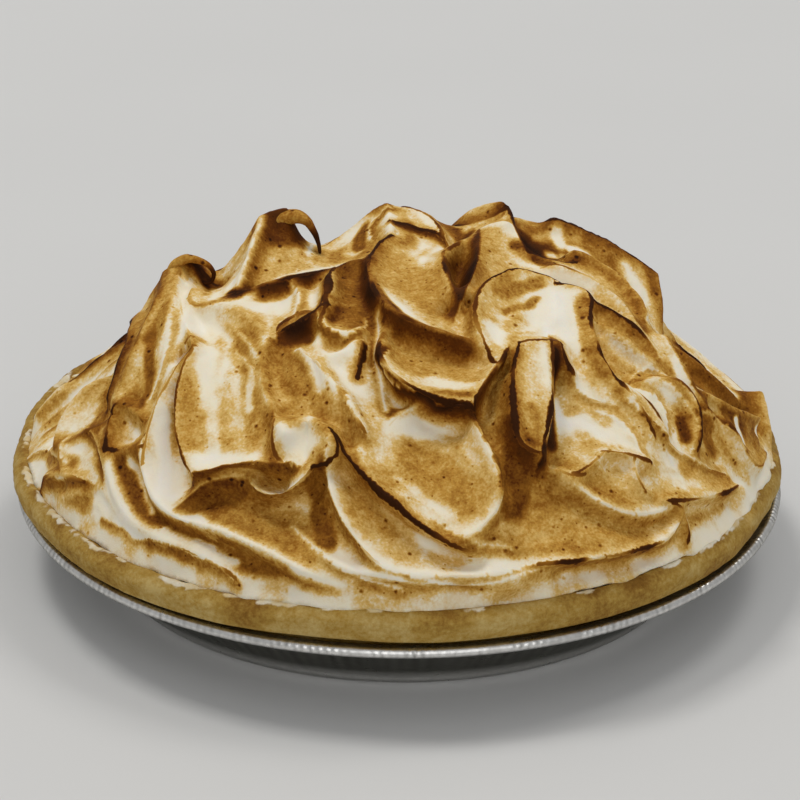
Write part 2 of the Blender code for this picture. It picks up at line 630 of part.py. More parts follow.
def pastry_crust(material):
    """Crust that fills the tin and stands above it as an uneven rounded rim."""
    gap = TIN_SHEET + GAP + DRAFT_GAP
    floor = TIN_SHEET + GAP
    in_tin = (corners_at(TIN_BASE_RADIUS - gap, floor, CRUST_BASE)
              + corners_at(TIN_WALL_TOP_RADIUS - gap, TIN_WALL_TOP, CRUST_WALL_TOP))
    rim = corners_at(CRUST_BELLY_RADIUS, CRUST_BELLY_HEIGHT, CRUST_RIM)
    profile = [(0.0, floor)] + in_tin + rim + [(0.0, CRUST_FLOOR_HEIGHT)]

    def shape(angle, index, radius, height):
        wave = sum(size * math.sin(count * angle + phase) for count, size, phase in CRUST_WAVES)
        swell = sum(size * math.cos(count * angle + phase) for count, size, phase in CRUST_WAVES)
        corner = index - len(in_tin)
        if corner < 0:
            slack = max(0.0, math.cos(angle - math.radians(SLACK_BEARING)))
            radius -= SLACK_WIDTH * slack * height / TIN_WALL_TOP
            return (radius * math.cos(angle), radius * math.sin(angle), height)
        shift = 0.0
        if corner <= RIM_CREST:
            shift = BELLY_SHIFT if corner > 0 else FOOT_SHIFT
            radius += wave
            if corner >= RIM_BELLY:
                height += CRUST_SWELL_SHARE * swell
        return (radius * math.cos(angle) + shift, radius * math.sin(angle), height)

    return turned("pastry_crust", profile, shape, material)


def meringue(material):
    """Folded dome with its underside flat on the crust."""
    plan, faces, crest_height = plan_mesh(FOLDS, MESH_STEP)
    axis, lift = sagging_surface(FOLDS)
    height = read_lift(axis, lift, plan)
    height = np.where(np.isnan(crest_height), height, crest_height)
    height = np.where(np.hypot(plan[:, 0], plan[:, 1]) > LIP_REACH - 0.01, 0.0, height)
    points = on_dome(plan + lean(FOLDS, plan), height)
    rim = edge_loop(faces)
    points = np.vstack([points, [0.0, 0.0, SEAT_HEIGHT]])
    centre = len(points) - 1
    faces += [(b, a, centre) for a, b in zip(rim, rim[1:] + rim[:1])]
    return new_object("meringue", points, faces, material)


def clear_scene():
    for thing in list(bpy.data.objects):
        bpy.data.objects.remove(thing)


def main():
    clear_scene()
    foil_tin(finish("aluminium foil", (0.55, 0.54, 0.53), 0.35, 1.0))
    pastry_crust(finish("baked pastry", (0.55, 0.36, 0.14), 0.7, 0.0))
    meringue(finish("toasted meringue", (0.78, 0.62, 0.38), 0.5, 0.0))


main()
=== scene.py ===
"""Looks of a lemon meringue pie in its foil tin.

The meringue's folds repeat the model's table of crests and are meshed about
five times finer, with drag lines, creases and small lumps in the surface.
Each crest also says how it is toasted, and patches over the dome toast the
faces between them; a few crests paint shade into the colour as well. Two
thin tips curl off the peaks at the left. The crust and the tin are turned
again with their fine relief, and thin smears of meringue lie on the crust.
The tin's grooves and pleats carry painted shade, and its wall is painted
dark as the shadow it reflects.

Bearings are in degrees, anticlockwise from +X, and the front faces -Y.
Lengths are in millimetres until a mesh is made, which is in metres.
"""
import math
from typing import NamedTuple

import bpy
import numpy as np
from mathutils import Matrix, Vector
from mathutils.geometry import delaunay_2d_cdt


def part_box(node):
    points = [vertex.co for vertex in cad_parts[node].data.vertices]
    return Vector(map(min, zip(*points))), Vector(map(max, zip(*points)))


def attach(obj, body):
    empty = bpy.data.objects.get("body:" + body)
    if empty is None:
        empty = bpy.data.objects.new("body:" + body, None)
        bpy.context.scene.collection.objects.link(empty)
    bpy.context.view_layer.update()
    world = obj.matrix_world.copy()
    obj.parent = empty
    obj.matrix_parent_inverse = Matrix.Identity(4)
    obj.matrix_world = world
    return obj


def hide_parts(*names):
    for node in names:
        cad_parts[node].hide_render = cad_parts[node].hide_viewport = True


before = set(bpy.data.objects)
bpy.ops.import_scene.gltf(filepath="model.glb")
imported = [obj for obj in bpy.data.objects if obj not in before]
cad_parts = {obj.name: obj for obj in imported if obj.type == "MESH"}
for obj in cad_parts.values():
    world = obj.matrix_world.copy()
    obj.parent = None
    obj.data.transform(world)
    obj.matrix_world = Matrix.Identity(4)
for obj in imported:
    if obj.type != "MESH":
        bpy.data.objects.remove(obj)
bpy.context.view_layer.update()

METRES = 0.001

# Foil tin, as wide and as tall as the solid one
TIN_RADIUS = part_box("foil_tin")[1].x / METRES
TIN_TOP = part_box("foil_tin")[1].z / METRES
TIN_BASE_RADIUS = 95.0
TIN_SHEET = 0.8
WALL_TOP_RADIUS = TIN_RADIUS - 6.4
WALL_TOP = TIN_TOP - 3.15
ROLL_RADIUS = 1.65
TIN_SIDES = 1440
# The base's pressed rings: how far in from its edge, and how high
TIN_RINGS = ((70, 0.0), (69, 0.5), (45, 0.5), (44, 0.0), (12, 0.0), (11, 0.5), (8, 0.5), (7, 0.0),
             (3.0, 0.0), (0.8, 0.7))
PLEAT_COUNT = 170
PLEAT_DEPTH = 0.13
KNURL_COUNT = 330
KNURL_DEPTH = 0.07
KNURL_DROP = 0.12
DENT_DEPTH = 0.10
DENT_DROP = 0.08

# Crust, as corners of its outline and how it wanders
GAP = 0.35
CRUST_FOOT = (117.6, 27.3)
CRUST_BELLY = (122.6, 32.4)
CRUST_CREST = (119.3, 37.4)
CRUST_FLOOR = (109.5, 30.0)
FOOT_SHIFT = -2.4
BELLY_SHIFT = -1.0
SLACK_BEARING = -30.0
SLACK_WIDTH = 2.4
CRUST_WAVES = ((5, 0.40, 0.6), (9, 0.30, 2.1), (14, 0.20, 4.0))
CRUST_SWELL_SHARE = 0.6
CRUST_SINK = 0.60      # keeps the bumps inside the solid crust's width
CRUST_SIDES = 720

# Meringue dome
LIP_RADIUS = 118.5
LIP_HEIGHT = 39.0
DOME_HEIGHT = 103.0
ROUNDNESS = 2.6
PEAKEDNESS = 1.4
SEAT_RADIUS = 108.0
SEAT_HEIGHT = 30.4
LIP_BAND = 6.0
LIP_DROOP = 2.2
LIP_PUSH = 0.9

# How the surface hangs between crests, and how a crest leans
GRID_STEP = 0.8
SAG_RATE = 0.085
SAG_REACH = 16.0
VALLEY_OFFSET = 3.0
VALLEY_SPREAD = 0.25
LEE_WIDTH = 3.2
BACK_WIDTH = 8.0
CREASE_LEE = 0.8
CREASE_BACK = 2.6
FADE_SHARE = 0.35
MESH_STEP = 0.85
BACK_STEP = 1.35
BACK_LINE = 32.0
RAIL_OFFSET = 0.75
HIDDEN_STEP = 3.2

# Drag lines and lumps in the meringue's surface
DRAG_RISE = 0.24
DRAG_REACH = 9.0
LUMP_RISE = 0.45
LUMP_SIZE = 7.0
PIMPLE_RISE = 0.10
PIMPLE_SIZE = 2.2
LIP_CALM = 5.0
CREST_HOLD = 0.9
SOFTENING = 0.35

# Toasting, from 0 for white to 1 for black
PLAIN_LEVEL = 0.29
CLOUD_LEVEL = 0.24
STREAK_LEVEL = 0.09
WANDER = 1.1
PATCH_END = 1.35
PATCH_FADE = 0.9
LIP_PALE = 6.0
LIP_FADE = 3.0
LIP_COVER = 0.8
LIP_LEVEL = 0.06
LIP_CLOUD = 0.3
BACK_BAND = 3.6
UNDER_BAND = 6.0
UNDER_EDGE = 1.15
BAND_COVER = 0.75
CREASE_BAND = 0.55
RIDGE_WIDTH = 1.1
RIDGE_LEVEL = 0.04
HALO_WIDTH = 2.8
HALO_SHARE = 0.24
LINE_REACH = 4.0
LINE_NEARNESS = 1.5


class Fold(NamedTuple):
    """One crest: an arc over the dome between two (bearing, reach) places.

    Reach is measured over the dome from its top. Bow is the arc's height to
    the left of travel. Rise is how far the crest stands off the dome at each
    end, and hump how much more halfway. Burn is how black the crest's line is,
    and back how dark the surface behind it is made, from 0 for white to 1 for
    black: toast, and on a few folds painted shade. Lee names the steep side, 1
    for left and -1 for right, which drops below the crest and which the crest
    leans over. Under is how dark that side is made: toast, and on a few folds
    the painted shade under the crest. Fade sinks an end into the surface.
    """
    start: tuple
    end: tuple
    bow: float
    rise: tuple
    hump: float
    burn: float
    back: float
    lee: int = 0
    drop: float = 0.0
    lean: float = 0.0
    under: float = 0.6
    fade: tuple = (0.0, 0.0)


class Crest(NamedTuple):
    """A fold's crest as points, with its left side, height and strength."""
    along: np.ndarray
    points: np.ndarray
    left: np.ndarray
    height: np.ndarray
    strength: np.ndarray


class Patch(NamedTuple):
    """A toasted or white streak between two places.

    Width is how far it reaches to each side, level how toasted it is, and
    cover how much of what lies under it it hides.
    """
    start: tuple
    end: tuple
    width: float
    level: float
    cover: float = 1.0


FOLDS = [Fold(*row) for row in (
    # left peak
    ((180, 92), (183, 65), 1, (-9, 8), 2, 0.3, 0.45),
    ((183, 65), (186, 61), 0, (8, -5), 0, 0.9, 1),
    ((186, 61), (189, 57), 0, (-5, -6), 0, 0.9, 0.5),
    ((185, 66), (221, 81), -3, (1, 5), 0, 0.35, 0.4, 1, 6, 1, 0.05),
    ((182, 74), (210, 107), 7, (5, 2), 2, 0.4, 0.4, -1, 4, 1, 0.75, (0, 2)),
    ((183, 70), (206, 92), 5, (6, 2), 1, 0.1, 0.1, -1, 2, 0, 0.6, (0, 1)),
    ((184, 67), (215, 94), 2, (7, 2), 1, 0.4, 0.1, -1, 3, 0, 0.5, (0, 2)),
    ((188, 69), (221, 105), 8, (3, 1), 1, 0.1, 0, 0, 0, 0, 0.6, (2, 2)),
    ((180, 93), (207, 108), 7, (-5, 0), 3, 1, 0.5, -1, 7, 2, 0.85),
    ((221, 81), (226, 118), -4, (4, 1), 0, 0.65, 0.15, 1, 3, 0, 0.05),
    ((179, 96), (180, 123), 0, (-10, -6), 0, 0.9, 0.6),
    ((180, 123), (180, 144), 0, (-6, -1), 2, 0.3, 0.2),
    ((197, 106), (203, 130), -6, (-3, 1), 1, 0.3, 0.3),
    ((216, 103), (203, 130), 2, (0, 1), -1, 0.6, 0.5, -1, 3, 0, 0.6),
    # left base
    ((204, 128), (215, 132), -4, (1, 1), 0, 0.7, 0, -1, 3, 0, 0.5),
    ((203, 143), (215, 132), 2, (1, 1), 0, 0.6, 0.4),
    ((206, 142), (217, 130), -4, (0, 1), 0, 0.3, 0.4, 0, 0, 0, 0.6, (1, 2)),
    ((217, 121), (233, 136), -5, (1, 1), 0, 0.2, 0.05),
    ((233, 136), (248, 142), 1, (1, 1), 0, 0.1, 0.1),
    ((216, 120), (220, 107), 12, (1, 1), 1, 1, 0.5, -1, 5, 1, 0.4),
    ((216, 120), (224, 114), -1, (0, 1), 0, 0.9, 0.4),
    # big scoop
    ((221, 81), (236, 115), -6.5, (4, 3), 0, 0.6, 0.12, -1, 9, 4, 0.45),
    ((236, 115), (252, 105), -2, (3, 4), 1, 0.6, 0, -1, 12, 5, 0.78),
    ((210, 65), (234, 68), 3, (2, 1), 0, 0.35, 0.35),
    ((234, 68), (246, 92), -3, (2, 3), -1, 0.25, 0.2, 1, 4, 1, 0.5),
    ((243, 66), (254, 86), 2, (0, 1), 0, 0, 0, 0, 0, 0, 0.6, (1, 1)),
    ((197, 66), (210, 64), -6, (4, 2), 0, 0.5, 0.45, -1, 3, 0, 0.1),
    ((243, 114), (235, 126), -2, (0, 0), 0, 0.5, 0.1, 1, 4, 0, 0.62),
    # curled lip
    ((247, 95), (258, 96), 1, (4, 5), 0, 0.4, 0.3, 1, 6, 1, 0.5),
    ((258, 96), (256, 106), 6, (5, 4), 0, 0.9, 0, 1, 8, 2, 0.3),
    ((256, 106), (244, 112), 8, (4, 2), 0, 0.55, 0, 1, 10, 3, 0.6, (0, 2)),
    ((247, 95), (252, 106), -2, (4, 2), 0, 0.8, 0.2, -1, 4, 1, 0.6, (0, 2)),
    ((249, 97), (251, 99), 0, (7, 7), 0, 0, 0.05),
    ((258, 99), (257, 103), 0, (7, 6), 0, 0, 0.1),
    ((253, 93), (254, 103), 0, (1, 0), 0, 0.2, 0.1),
    # long diagonal
    ((258, 96), (270, 115), -3, (3, 3), 0, 1, 0.3, -1, 8, 3, 0.4),
    ((270, 115), (286, 131), -6, (3, 1), 0, 1, 0.25, -1, 7, 3, 0.15, (0, 2)),
    # tongues
    ((282, 86), (286, 115), 2, (1, 3), 0, 0.45, 0, 1, 6, 2, 0.6),
    ((286, 115), (277, 121), 5, (3, 1), 0, 0.3, 0, 1, 5, 0, 0.5, (0, 3)),
    ((268, 90), (282, 86), 4, (-3, 0), 0, 0.3, 0.05),
    ((258, 105), (268, 132), -5, (1, 3), 1, 0.35, 0, -1, 6, 2, 0.65),
    ((268, 132), (286, 136), -4, (3, 1), 0, 0.35, 0, -1, 6, 2, 0.4),
    # the dark band along this groove is painted, partly as toast and partly as painted shade in the groove
    ((289, 96), (286, 121), -1, (0, -2), 0, 0.3, 0.85, 0, 0, 0, 0.6, (2, 3)),
    # ridges at the base
    ((224, 114), (238, 129), -6, (1, 2), 0, 0.15, 0, -1, 5, 1, 0.65),
    ((238, 129), (256, 136), 0, (2, 2), 1, 0.1, 0, -1, 6, 1, 0.65),
    ((256, 136), (265, 140), -1, (2, 0), 0, 0.1, 0.05, 0, 0, 0, 0.6, (0, 2)),
    ((254, 130), (280, 137), -6, (0, 1), 2, 0.15, 0, -1, 4, 1, 0.45, (2, 2)),
    ((280, 142), (293, 137), -1, (1, 1), 0, 0.2, 0, -1, 3, 0, 0.4, (2, 1)),
    # pocket
    ((264, 53), (283, 87), -12, (1, 4), 2, 1, 0.05, -1, 12, 5, 0.95, (3, 0)),
    ((284, 86), (302, 68), 0, (4, 5), 0, 0.9, 0.05, -1, 11, 5, 0.8, (0, 2)),
    # top
    ((197, 3), (264, 46), -6, (4, 4), 0, 0.9, 0.35, -1, 6, 1, 0.85),
    ((264, 46), (288, 62), -5, (4, 3), 1, 1, 0.4, -1, 9, 2, 0.7),
    ((142, 25), (103, 20), 0, (-3, 7), 1, 0.3, 0.2, 1, 8, 0, 0.6),
    ((103, 20), (61, 30), 1, (7, -4), 0, 0.6, 0.4, 1, 8, 0, 0.6),
    ((103, 20), (146, 4), 0, (7, 4), 0, 0.1, 0),
    ((89, 20), (26, 14), 3, (6, 2), 0, 0.8, 0.05, 1, 3, 0, 0.4),
    ((313, 18), (292, 47), -1, (3, 3), 0, 0.9, 0.2, 1, 9, 1, 0.75),
    ((292, 47), (12, 24), -2, (3, 3), 2, 0.7, 0.35, 1, 9, 1, 0.95),
    ((313, 18), (12, 24), 0, (3, 3), 0, 0.6, 0.15),
    ((58, 28), (23, 35), 2, (-4, 11), 3, 0.3, 0.2, 1, 12, 0, 0.6),
    ((23, 35), (350, 39), 0, (11, 4), -1, 1, 0.05, 1, 10, 1, 0.95),
    ((350, 39), (355, 54), -2, (4, 2), -1, 0.8, 0.3, 1, 5, 0, 0.7),
    ((12, 24), (5, 31), 0, (4, 9), 0, 0.3, 0.1),
    # right dome
    ((292, 62), (324, 43), 6, (3, 6), 1, 1, 0.1, 1, 6, 2, 0.5),
    ((324, 43), (332, 54), 2, (6, 4), 0, 1, 0.1, 1, 5, 1, 0.3),
    ((330, 54), (329, 66), 6, (4, 4), 0, 1, 0.15, 1, 5, 1, 0.2),
    ((329, 66), (318, 97), -5, (4, 2), 0, 0.9, 0.3, 1, 6, 1, 0.35),
    ((318, 97), (318, 114), 0, (2, 0), 0, 0.7, 0.05, 1, 4, 0, 0.3, (0, 2)),
    ((292, 62), (290, 70), 0, (3, 1), 0, 1, 0.05),
    ((330, 54), (314, 66), 0, (3, 1), 0, 0, 0, 0, 0, 0, 0.6, (0, 2)),
    # tooth
    ((300, 69), (291, 96), -2, (4, 4), 0, 0.9, 0.4, -1, 6, 1, 0.45),
    ((291, 96), (294, 105), -3, (4, 4), 0, 1, 0.2, -1, 6, 1, 0.75),
    ((294, 105), (309, 70), -2, (4, 3), -1, 0.8, 0.3, -1, 9, 2, 1),
    ((300, 69), (311, 72), 1, (4, 3), 0, 0.7, 0.1),
    ((305, 72), (296, 99), 0, (3, 4), 0, 0, 0.15),
    ((311, 72), (310, 82), -1, (3, 1), 0, 0.8, 0.6, 1, 4, 0, 0.05),
    # right facet
    ((290, 135), (310, 138), -3, (2, 2), 1, 0.9, 0, -1, 7, 2, 0.5),
    ((310, 138), (316, 132), -2, (2, 2), 0, 0.6, 0, -1, 4, 0, 0.4),
    ((314, 128), (316, 141), 3, (2, 1), 0, 0.8, 0.1, -1, 3, 0, 0.4),
    ((314, 128), (332, 136), -3, (2, 1), 0, 0.75, 0.1, -1, 5, 1, 0.3),
    ((297, 110), (314, 130), -8, (0, 0), 1, 0.25, 0.05, -1, 4, 1, 0.5),
    ((297, 110), (301, 113), -1, (1, 1), 0, 0.6, 0.3),
    ((299, 112), (306, 108), -1, (1, 2), 0, 0.6, 0.1, -1, 3, 0, 0.3),
    ((306, 108), (314, 116), 0, (2, 2), 0, 0.8, 0, -1, 5, 1, 0.2),
    ((311, 113), (312, 126), -3, (1, 0), 1, 0.8, 0.1, 0, 0, 0, 0.6, (0, 1)),
    ((324, 93), (326, 119), 12, (1, 1), 2, 0.8, 0.05, 1, 4, 1, 0.5),
    ((322, 97), (328, 108), 4, (0, 1), 0, 0.5, 0.1, -1, 2, 0, 0, (1, 2)),
    ((318, 91), (320, 112), 3, (2, 1), 0, 0.6, 0, 0, 0, 0, 0.6, (0, 1)),
    # right slab
    ((25, 52), (14, 87), 2, (7, 3), 0, 0.9, 0.5, 1, 12, 1, 0.6),
    ((14, 87), (3, 94), 0, (3, -10), 0, 0.5, 0.45, 1, 5, 0, 0.6),
    ((13, 97), (5, 108), 3, (-9, -12), 0, 0.6, 0.1, 1, 3, 0, 0.6),
    ((0, 52), (343, 80), 6, (5, 3), 0, 0.3, 0, -1, 3, 1, 0.6),
    ((342, 48), (338, 78), 3, (4, 3), 1, 0.5, 0.45, -1, 3, 0, 0.05),
    ((332, 65), (334, 89), 2, (4, 1), 1, 0.9, 0.1, -1, 4, 0, 0.5),
    ((327, 70), (332, 96), -1, (3, 0), 1, 0.5, 0.35, -1, 3, 0, 0.05, (1, 1)),
    ((340, 88), (336, 121), -5, (3, 1), 0, 0.6, 0.1, 1, 4, 0, 0.6, (0, 3)),
    ((9, 106), (4, 122), 2, (-10, -9), 0, 1, 0.9, 1, 4, 0, 0.4),
    ((4, 106), (0, 133), -1, (-12, 0), -2, 0.6, 0.6),
    ((355, 95), (358, 130), -6, (-8, -5), 2, 0.5, 0.55, -1, 4, 1, 0.6),
    ((2, 131), (356, 143), -1, (3, 0), 0, 0.4, 0.2),
    ((346, 138), (338, 120), 10, (1, 1), 0, 0.6, 0.35, 1, 3, 0, 0.05),
    ((335, 104), (350, 130), -4, (2, 2), 0, 0.3, 0.6, 0, 0, 0, 0.6, (1, 0)),
    # hood
    ((182, 60), (175, 43), 0, (-5, 11), -1, 0.35, 0.38),
    ((175, 43), (171, 34), 1, (11, 13), 0, 0.4, 0.6, -1, 5, 0, 0.9),
    ((166, 29), (186, 29), 0, (-2, -1), 0, 0, 0.45),
    ((206, 56), (176, 42), -1, (1, 10), 1, 0.1, 0.2, -1, 5, 1, 0.8),
    # the lee side below this crest is painted near-black, as painted shade under its edge
    ((208, 57), (224, 28), -3, (1, 1), 1, 1, 0.5, -1, 5, 1, 1),
    ((212, 64), (212, 54), -2, (2, 0), 0, 0.4, 0.1),
    # left of the centre
    ((236, 63), (244, 50), -1, (2, 3), 0, 1, 0.05, -1, 5, 1, 0.85),
    ((244, 50), (226, 29), 1, (3, 2), 1, 0.9, 0.05, 1, 4, 0, 0.1),
    ((244, 50), (260, 56), -9, (3, 1), 0, 0.8, 0.3, -1, 5, 1, 0.6),
    ((246, 58), (259, 62), -11, (0, 1), 0, 0.3, 0),
    ((244, 68), (264, 94), 0, (2, 2), 1, 0.3, 0, 1, 4, 0, 0.3),
    ((222, 42), (236, 58), 1, (1, 0), 0, 0.3, 0.65, 0, 0, 0, 0.6, (1, 1)),
    ((224, 28), (238, 22), 1, (1, 3), 0, 0.5, 0.05, -1, 3, 0, 0.6),
    ((260, 57), (260, 74), 0, (-1, -2), 0, 1, 0.3, 0, 0, 0, 0.6, (1, 0)),
    ((262, 47), (267, 84), -1, (-3, -4), 0, 0, 0.85),
    # back
    ((23, 35), (30, 72), 6, (6, -4), 0, 0.9, 0.12, 1, 6, 2, 0.7),
    ((30, 72), (22, 112), -8, (-4, -10), 0, 0.8, 0.12, 1, 7, 2, 0.6),
    ((22, 112), (8, 138), 6, (-10, -2), 0, 0.4, 0, 1, 5, 0, 0.6),
    ((30, 72), (52, 98), 8, (-4, -6), 0, 1, 0.12, -1, 8, 3, 0.8),
    ((52, 98), (40, 128), 9, (-6, -6), 0, 0.7, 0, 1, 8, 3, 0.6),
    ((40, 128), (20, 132), 5, (-6, -5), 0, 0.3, 0, 1, 4, 0, 0.6, (0, 3)),
    ((58, 28), (56, 80), -7, (-4, -5), 0, 1, 0.3, 1, 8, 3, 0.8),
    ((56, 80), (70, 118), -9, (-5, -4), 0, 0.9, 0.12, 1, 7, 2, 0.6),
    ((70, 118), (54, 136), 8, (-4, -2), 0, 0.4, 0, 1, 6, 2, 0.6),
    ((61, 30), (84, 64), 6, (-4, -5), 0, 0.8, 0.2, -1, 5, 1, 0.6),
    ((84, 64), (92, 104), -10, (-5, -4), 0, 1, 0.12, 1, 9, 3, 0.85),
    ((92, 104), (77, 131), 8, (-4, -2), 0, 0.5, 0, 1, 7, 2, 0.6),
    ((77, 131), (64, 138), 3, (-2, 0), 0, 0.2, 0, 0, 0, 0, 0.6, (0, 2)),
    ((84, 64), (110, 86), 9, (-5, -12), 0, 0.9, 0.12, -1, 7, 2, 0.6),
    ((110, 86), (112, 122), -9, (-12, -5), 0, 0.9, 0.12, 1, 8, 3, 0.8),
    ((112, 122), (94, 137), 6, (-4, -1), 0, 0.3, 0, 1, 5, 1, 0.6),
    ((103, 20), (122, 48), 5, (7, -13), -4, 0.7, 0.3, 1, 4, 1, 0.6),
    ((122, 48), (110, 86), 7, (-13, -13), 0, 0.8, 0.12, 1, 7, 2, 0.6),
    ((122, 48), (142, 76), 8, (-12, -11), 0, 1, 0.12, -1, 7, 3, 0.8),
    ((142, 76), (136, 116), -8, (-10, -7), 0, 0.9, 0.12, 1, 8, 3, 0.6),
    ((136, 116), (118, 136), 8, (-7, -2), 0, 0.4, 0, 1, 6, 2, 0.6),
    ((142, 76), (162, 94), 6, (-10, -14), 0, 0.8, 0.12, -1, 6, 2, 0.6),
    ((162, 94), (160, 128), -7, (-14, -9), 0, 0.9, 0.12, 1, 7, 2, 0.75),
    ((160, 128), (144, 138), 5, (-9, -3), 0, 0.3, 0, 0, 0, 0, 0.6, (0, 2)),
    ((183, 65), (164, 72), -4, (7, -12), -4, 0.9, 0.12, -1, 4, 0, 0.6),
    ((164, 72), (162, 94), 3, (-12, -14), 0, 0.6, 0.12),
    ((179, 96), (170, 118), -6, (-10, -12), 0, 0.7, 0.3, 1, 4, 0, 0.6),
    ((170, 118), (166, 136), 3, (-12, -5), 0, 0.4, 0, 1, 4, 0, 0.6),
    ((23, 35), (58, 28), 4, (8, -4), 0, 0.8, 0.2, -1, 5, 0, 0.6),
    ((142, 25), (160, 44), 6, (-3, -8), 0, 0.7, 0.2, -1, 5, 0, 0.6),
    ((160, 44), (122, 48), 7, (-8, -12), 0, 0.8, 0.12, -1, 5, 2, 0.6),
)]

# Small ridges on the folds, too fine for the model. Their rise is their own height; the last four have none
# and only darken the colour, the first of them as painted shade
CREASES = [Fold(*row) for row in (
    ((219, 78), (217, 86), -2.2, (0.6, 0.2), 0, 0.5, 0.1, -1, 0, 0, 0.3),
    ((225, 68), (235, 76), 0.8, (0.5, 0.6), 0, 0.35, 0.05, 1, 0, 0, 0.5),
    ((228, 74), (235, 79), 0.1, (0.4, 0.5), 0, 0.4, 0.1, 1, 0, 0, 0.45),
    ((235, 65), (242, 51), 5.3, (0.6, 0.8), 0, 0.8, 0.05, -1, 0, 0, 0.6),
    ((244, 55), (255, 60), -1.8, (1, 1), 0, 0.5, 0, -1, 0, 0, 0.6),
    ((255, 60), (258, 49), -1.9, (1, 0.6), 0, 0.5, 0.05, -1, 0, 0, 0.6),
    ((233, 37), (242, 51), 1.6, (0.6, 0.8), 0, 1, 0.1, -1, 0, 0, 0.6),
    ((218, 42), (234, 56), 2.4, (0.5, 0.5), 0, 0.3, 0.05, 1, 0, 0, 0.5),
    ((259, 58), (260, 74), -0.3, (0.8, 0.3), 0, 0.7, 0.4, 1, 0, 0, 0.2),
    ((259, 84), (264, 94), -0.8, (0.8, 0.4), 0, 0.7, 0, -1, 0, 0, 0.5),
    ((269, 66), (274, 79), -3.2, (1, 1), 0, 0.5, 0, -1, 0, 0, 0.85),
    ((326, 71), (330, 92), -0.9, (0.9, 0.5), 0, 0.6, 0.3, -1, 0, 0, 0.1),
    ((324, 91), (330, 102), 5.6, (0.8, 0.6), 0, 0.5, 0.05, -1, 0, 0, 0.35),
    ((328, 99), (325, 119), 5.5, (0.9, 0.4), 0, 0.5, 0.05, 1, 0, 0, 0.4),
    ((323, 96), (323, 109), 3.6, (0.8, 0.5), 0, 0.4, 0, 1, 0, 0, 0.45),
    ((317, 98), (331, 131), -6, (0.9, 0.8), 0, 0.5, 0.05, -1, 0, 0, 0.45),
    ((334, 112), (338, 129), 2.6, (1, 0.6), 0, 0.7, 0.2, 1, 0, 0, 0.75),
    ((232, 138), (247, 141), 0.8, (0.9, 0.6), 0, 0.5, 0, -1, 0, 0, 0.55),
    ((254, 125), (270, 140), -3.1, (0.8, 0.8), 0, 0.3, 0.05, -1, 0, 0, 0.5),
    ((190, 144), (208, 131), 0.6, (0.8, 0.8), 0, 0.4, 0.05, -1, 0, 0, 0.5),
    ((201, 144), (216, 131), 0.3, (0.9, 0.9), 0, 0.4, 0.05, -1, 0, 0, 0.6),
    ((277, 120), (286, 130), -1.2, (0.7, 0.5), 0, 0.4, 0.1, -1, 0, 0, 0.5),
    ((272, 134), (290, 137), -5, (0.7, 0.7), 0, 0.3, 0, -1, 0, 0, 0.45),
    ((102, 9), (12, 15), 2.4, (0.8, 0.8), 0, 1, 0.1, -1, 0, 0, 0.8),
    ((106, 17), (142, 12), -2.3, (0.8, 0.6), 0, 0.6, 0, 1, 0, 0, 0.6),
    ((206, 120), (218, 127), 2.4, (0.8, 0.8), 0, 0.6, 0.1, -1, 0, 0, 0.6),
    ((208, 79), (218, 100), 2.4, (0.7, 0.5), 0, 0.3, 0, 1, 0, 0, 0.4),
    ((310, 84), (314, 95), -1.5, (0.7, 0.5), 0, 0.35, 0, -1, 0, 0, 0.4),
    ((312, 95), (314, 111), 1.9, (0.7, 0.5), 0, 0.3, 0, 1, 0, 0, 0.4),
    ((264, 99), (272, 119), -2, (0.5, 0.5), 0, 0.15, 0.25, -1, 0, 0, 0.5),
    # no rise: paints the hole under the left peak's tip near-black, as painted shade
    ((183, 64), (187, 63), 0, (0, 0), 0, 1, 1),
    ((191, 65), (205, 67), 0, (0, 0), 0, 0.2, 0.5),
    ((206, 58), (210, 54), 0, (0, 0), 0, 1, 1),
    ((15, 41), (2, 50), 0, (0, 0), 0, 0.9, 0.95),
)]

# Curled tips that hang free of a peak: x, y, z and radius along each
HOOD_TIP = ((-42, 6, 103, 1.2), (-38, 5.5, 108, 2.2), (-33.2, 4.5, 109.8, 2.1), (-29.6, 3.2, 108.8, 1.5),
            (-27.2, 2, 105.8, 1.0), (-25.9, 1, 102.6, 0.7), (-25.1, -1, 99.5, 0.5))
PEAK_TIP = ((-72.5, -4, 93, 0.9), (-70, -5, 97, 1.5), (-66.4, -6, 99.4, 1.4), (-62.4, -7, 99.3, 1.0),
            (-59.2, -7.5, 97.6, 0.8), (-57.9, -8, 95.2, 0.7), (-58.8, -8.5, 93.0, 0.6),
            (-61.4, -9, 92.6, 0.5))
TIP_DEPTH = 1.5        # how much deeper than high a tip is
TIP_SPOKES = 20
TIP_ROUND = 0.96
TIP_LUMPS = 0.12

# Bearing, length and width of each smear of meringue on the crust, and how far along its outline it lies
SMEARS = (
    (196, 16, 3.4, 0.56), (204, 9, 2.6, 0.55), (211, 12, 2.8, 0.54), (221, 16, 3.0, 0.53),
    (228, 6, 2.0, 0.54), (239, 17, 2.6, 0.53), (247, 7, 2.0, 0.53), (254, 14, 2.4, 0.53),
    (261, 8, 2.0, 0.53), (267, 6, 1.8, 0.53), (281, 5, 1.5, 0.53), (297, 7, 1.6, 0.53),
    (313, 9, 2.2, 0.53), (322, 12, 2.6, 0.54), (329, 16, 3.2, 0.55), (338, 9, 2.6, 0.54),
    (350, 10, 2.8, 0.54), (8, 8, 2.2, 0.53), (22, 16, 3.0, 0.54), (48, 10, 2.6, 0.53),
    (63, 17, 2.8, 0.54), (92, 12, 2.6, 0.53), (118, 15, 3.0, 0.54), (141, 9, 2.4, 0.53),
    (160, 16, 3.0, 0.54), (182, 12, 2.6, 0.54),
)

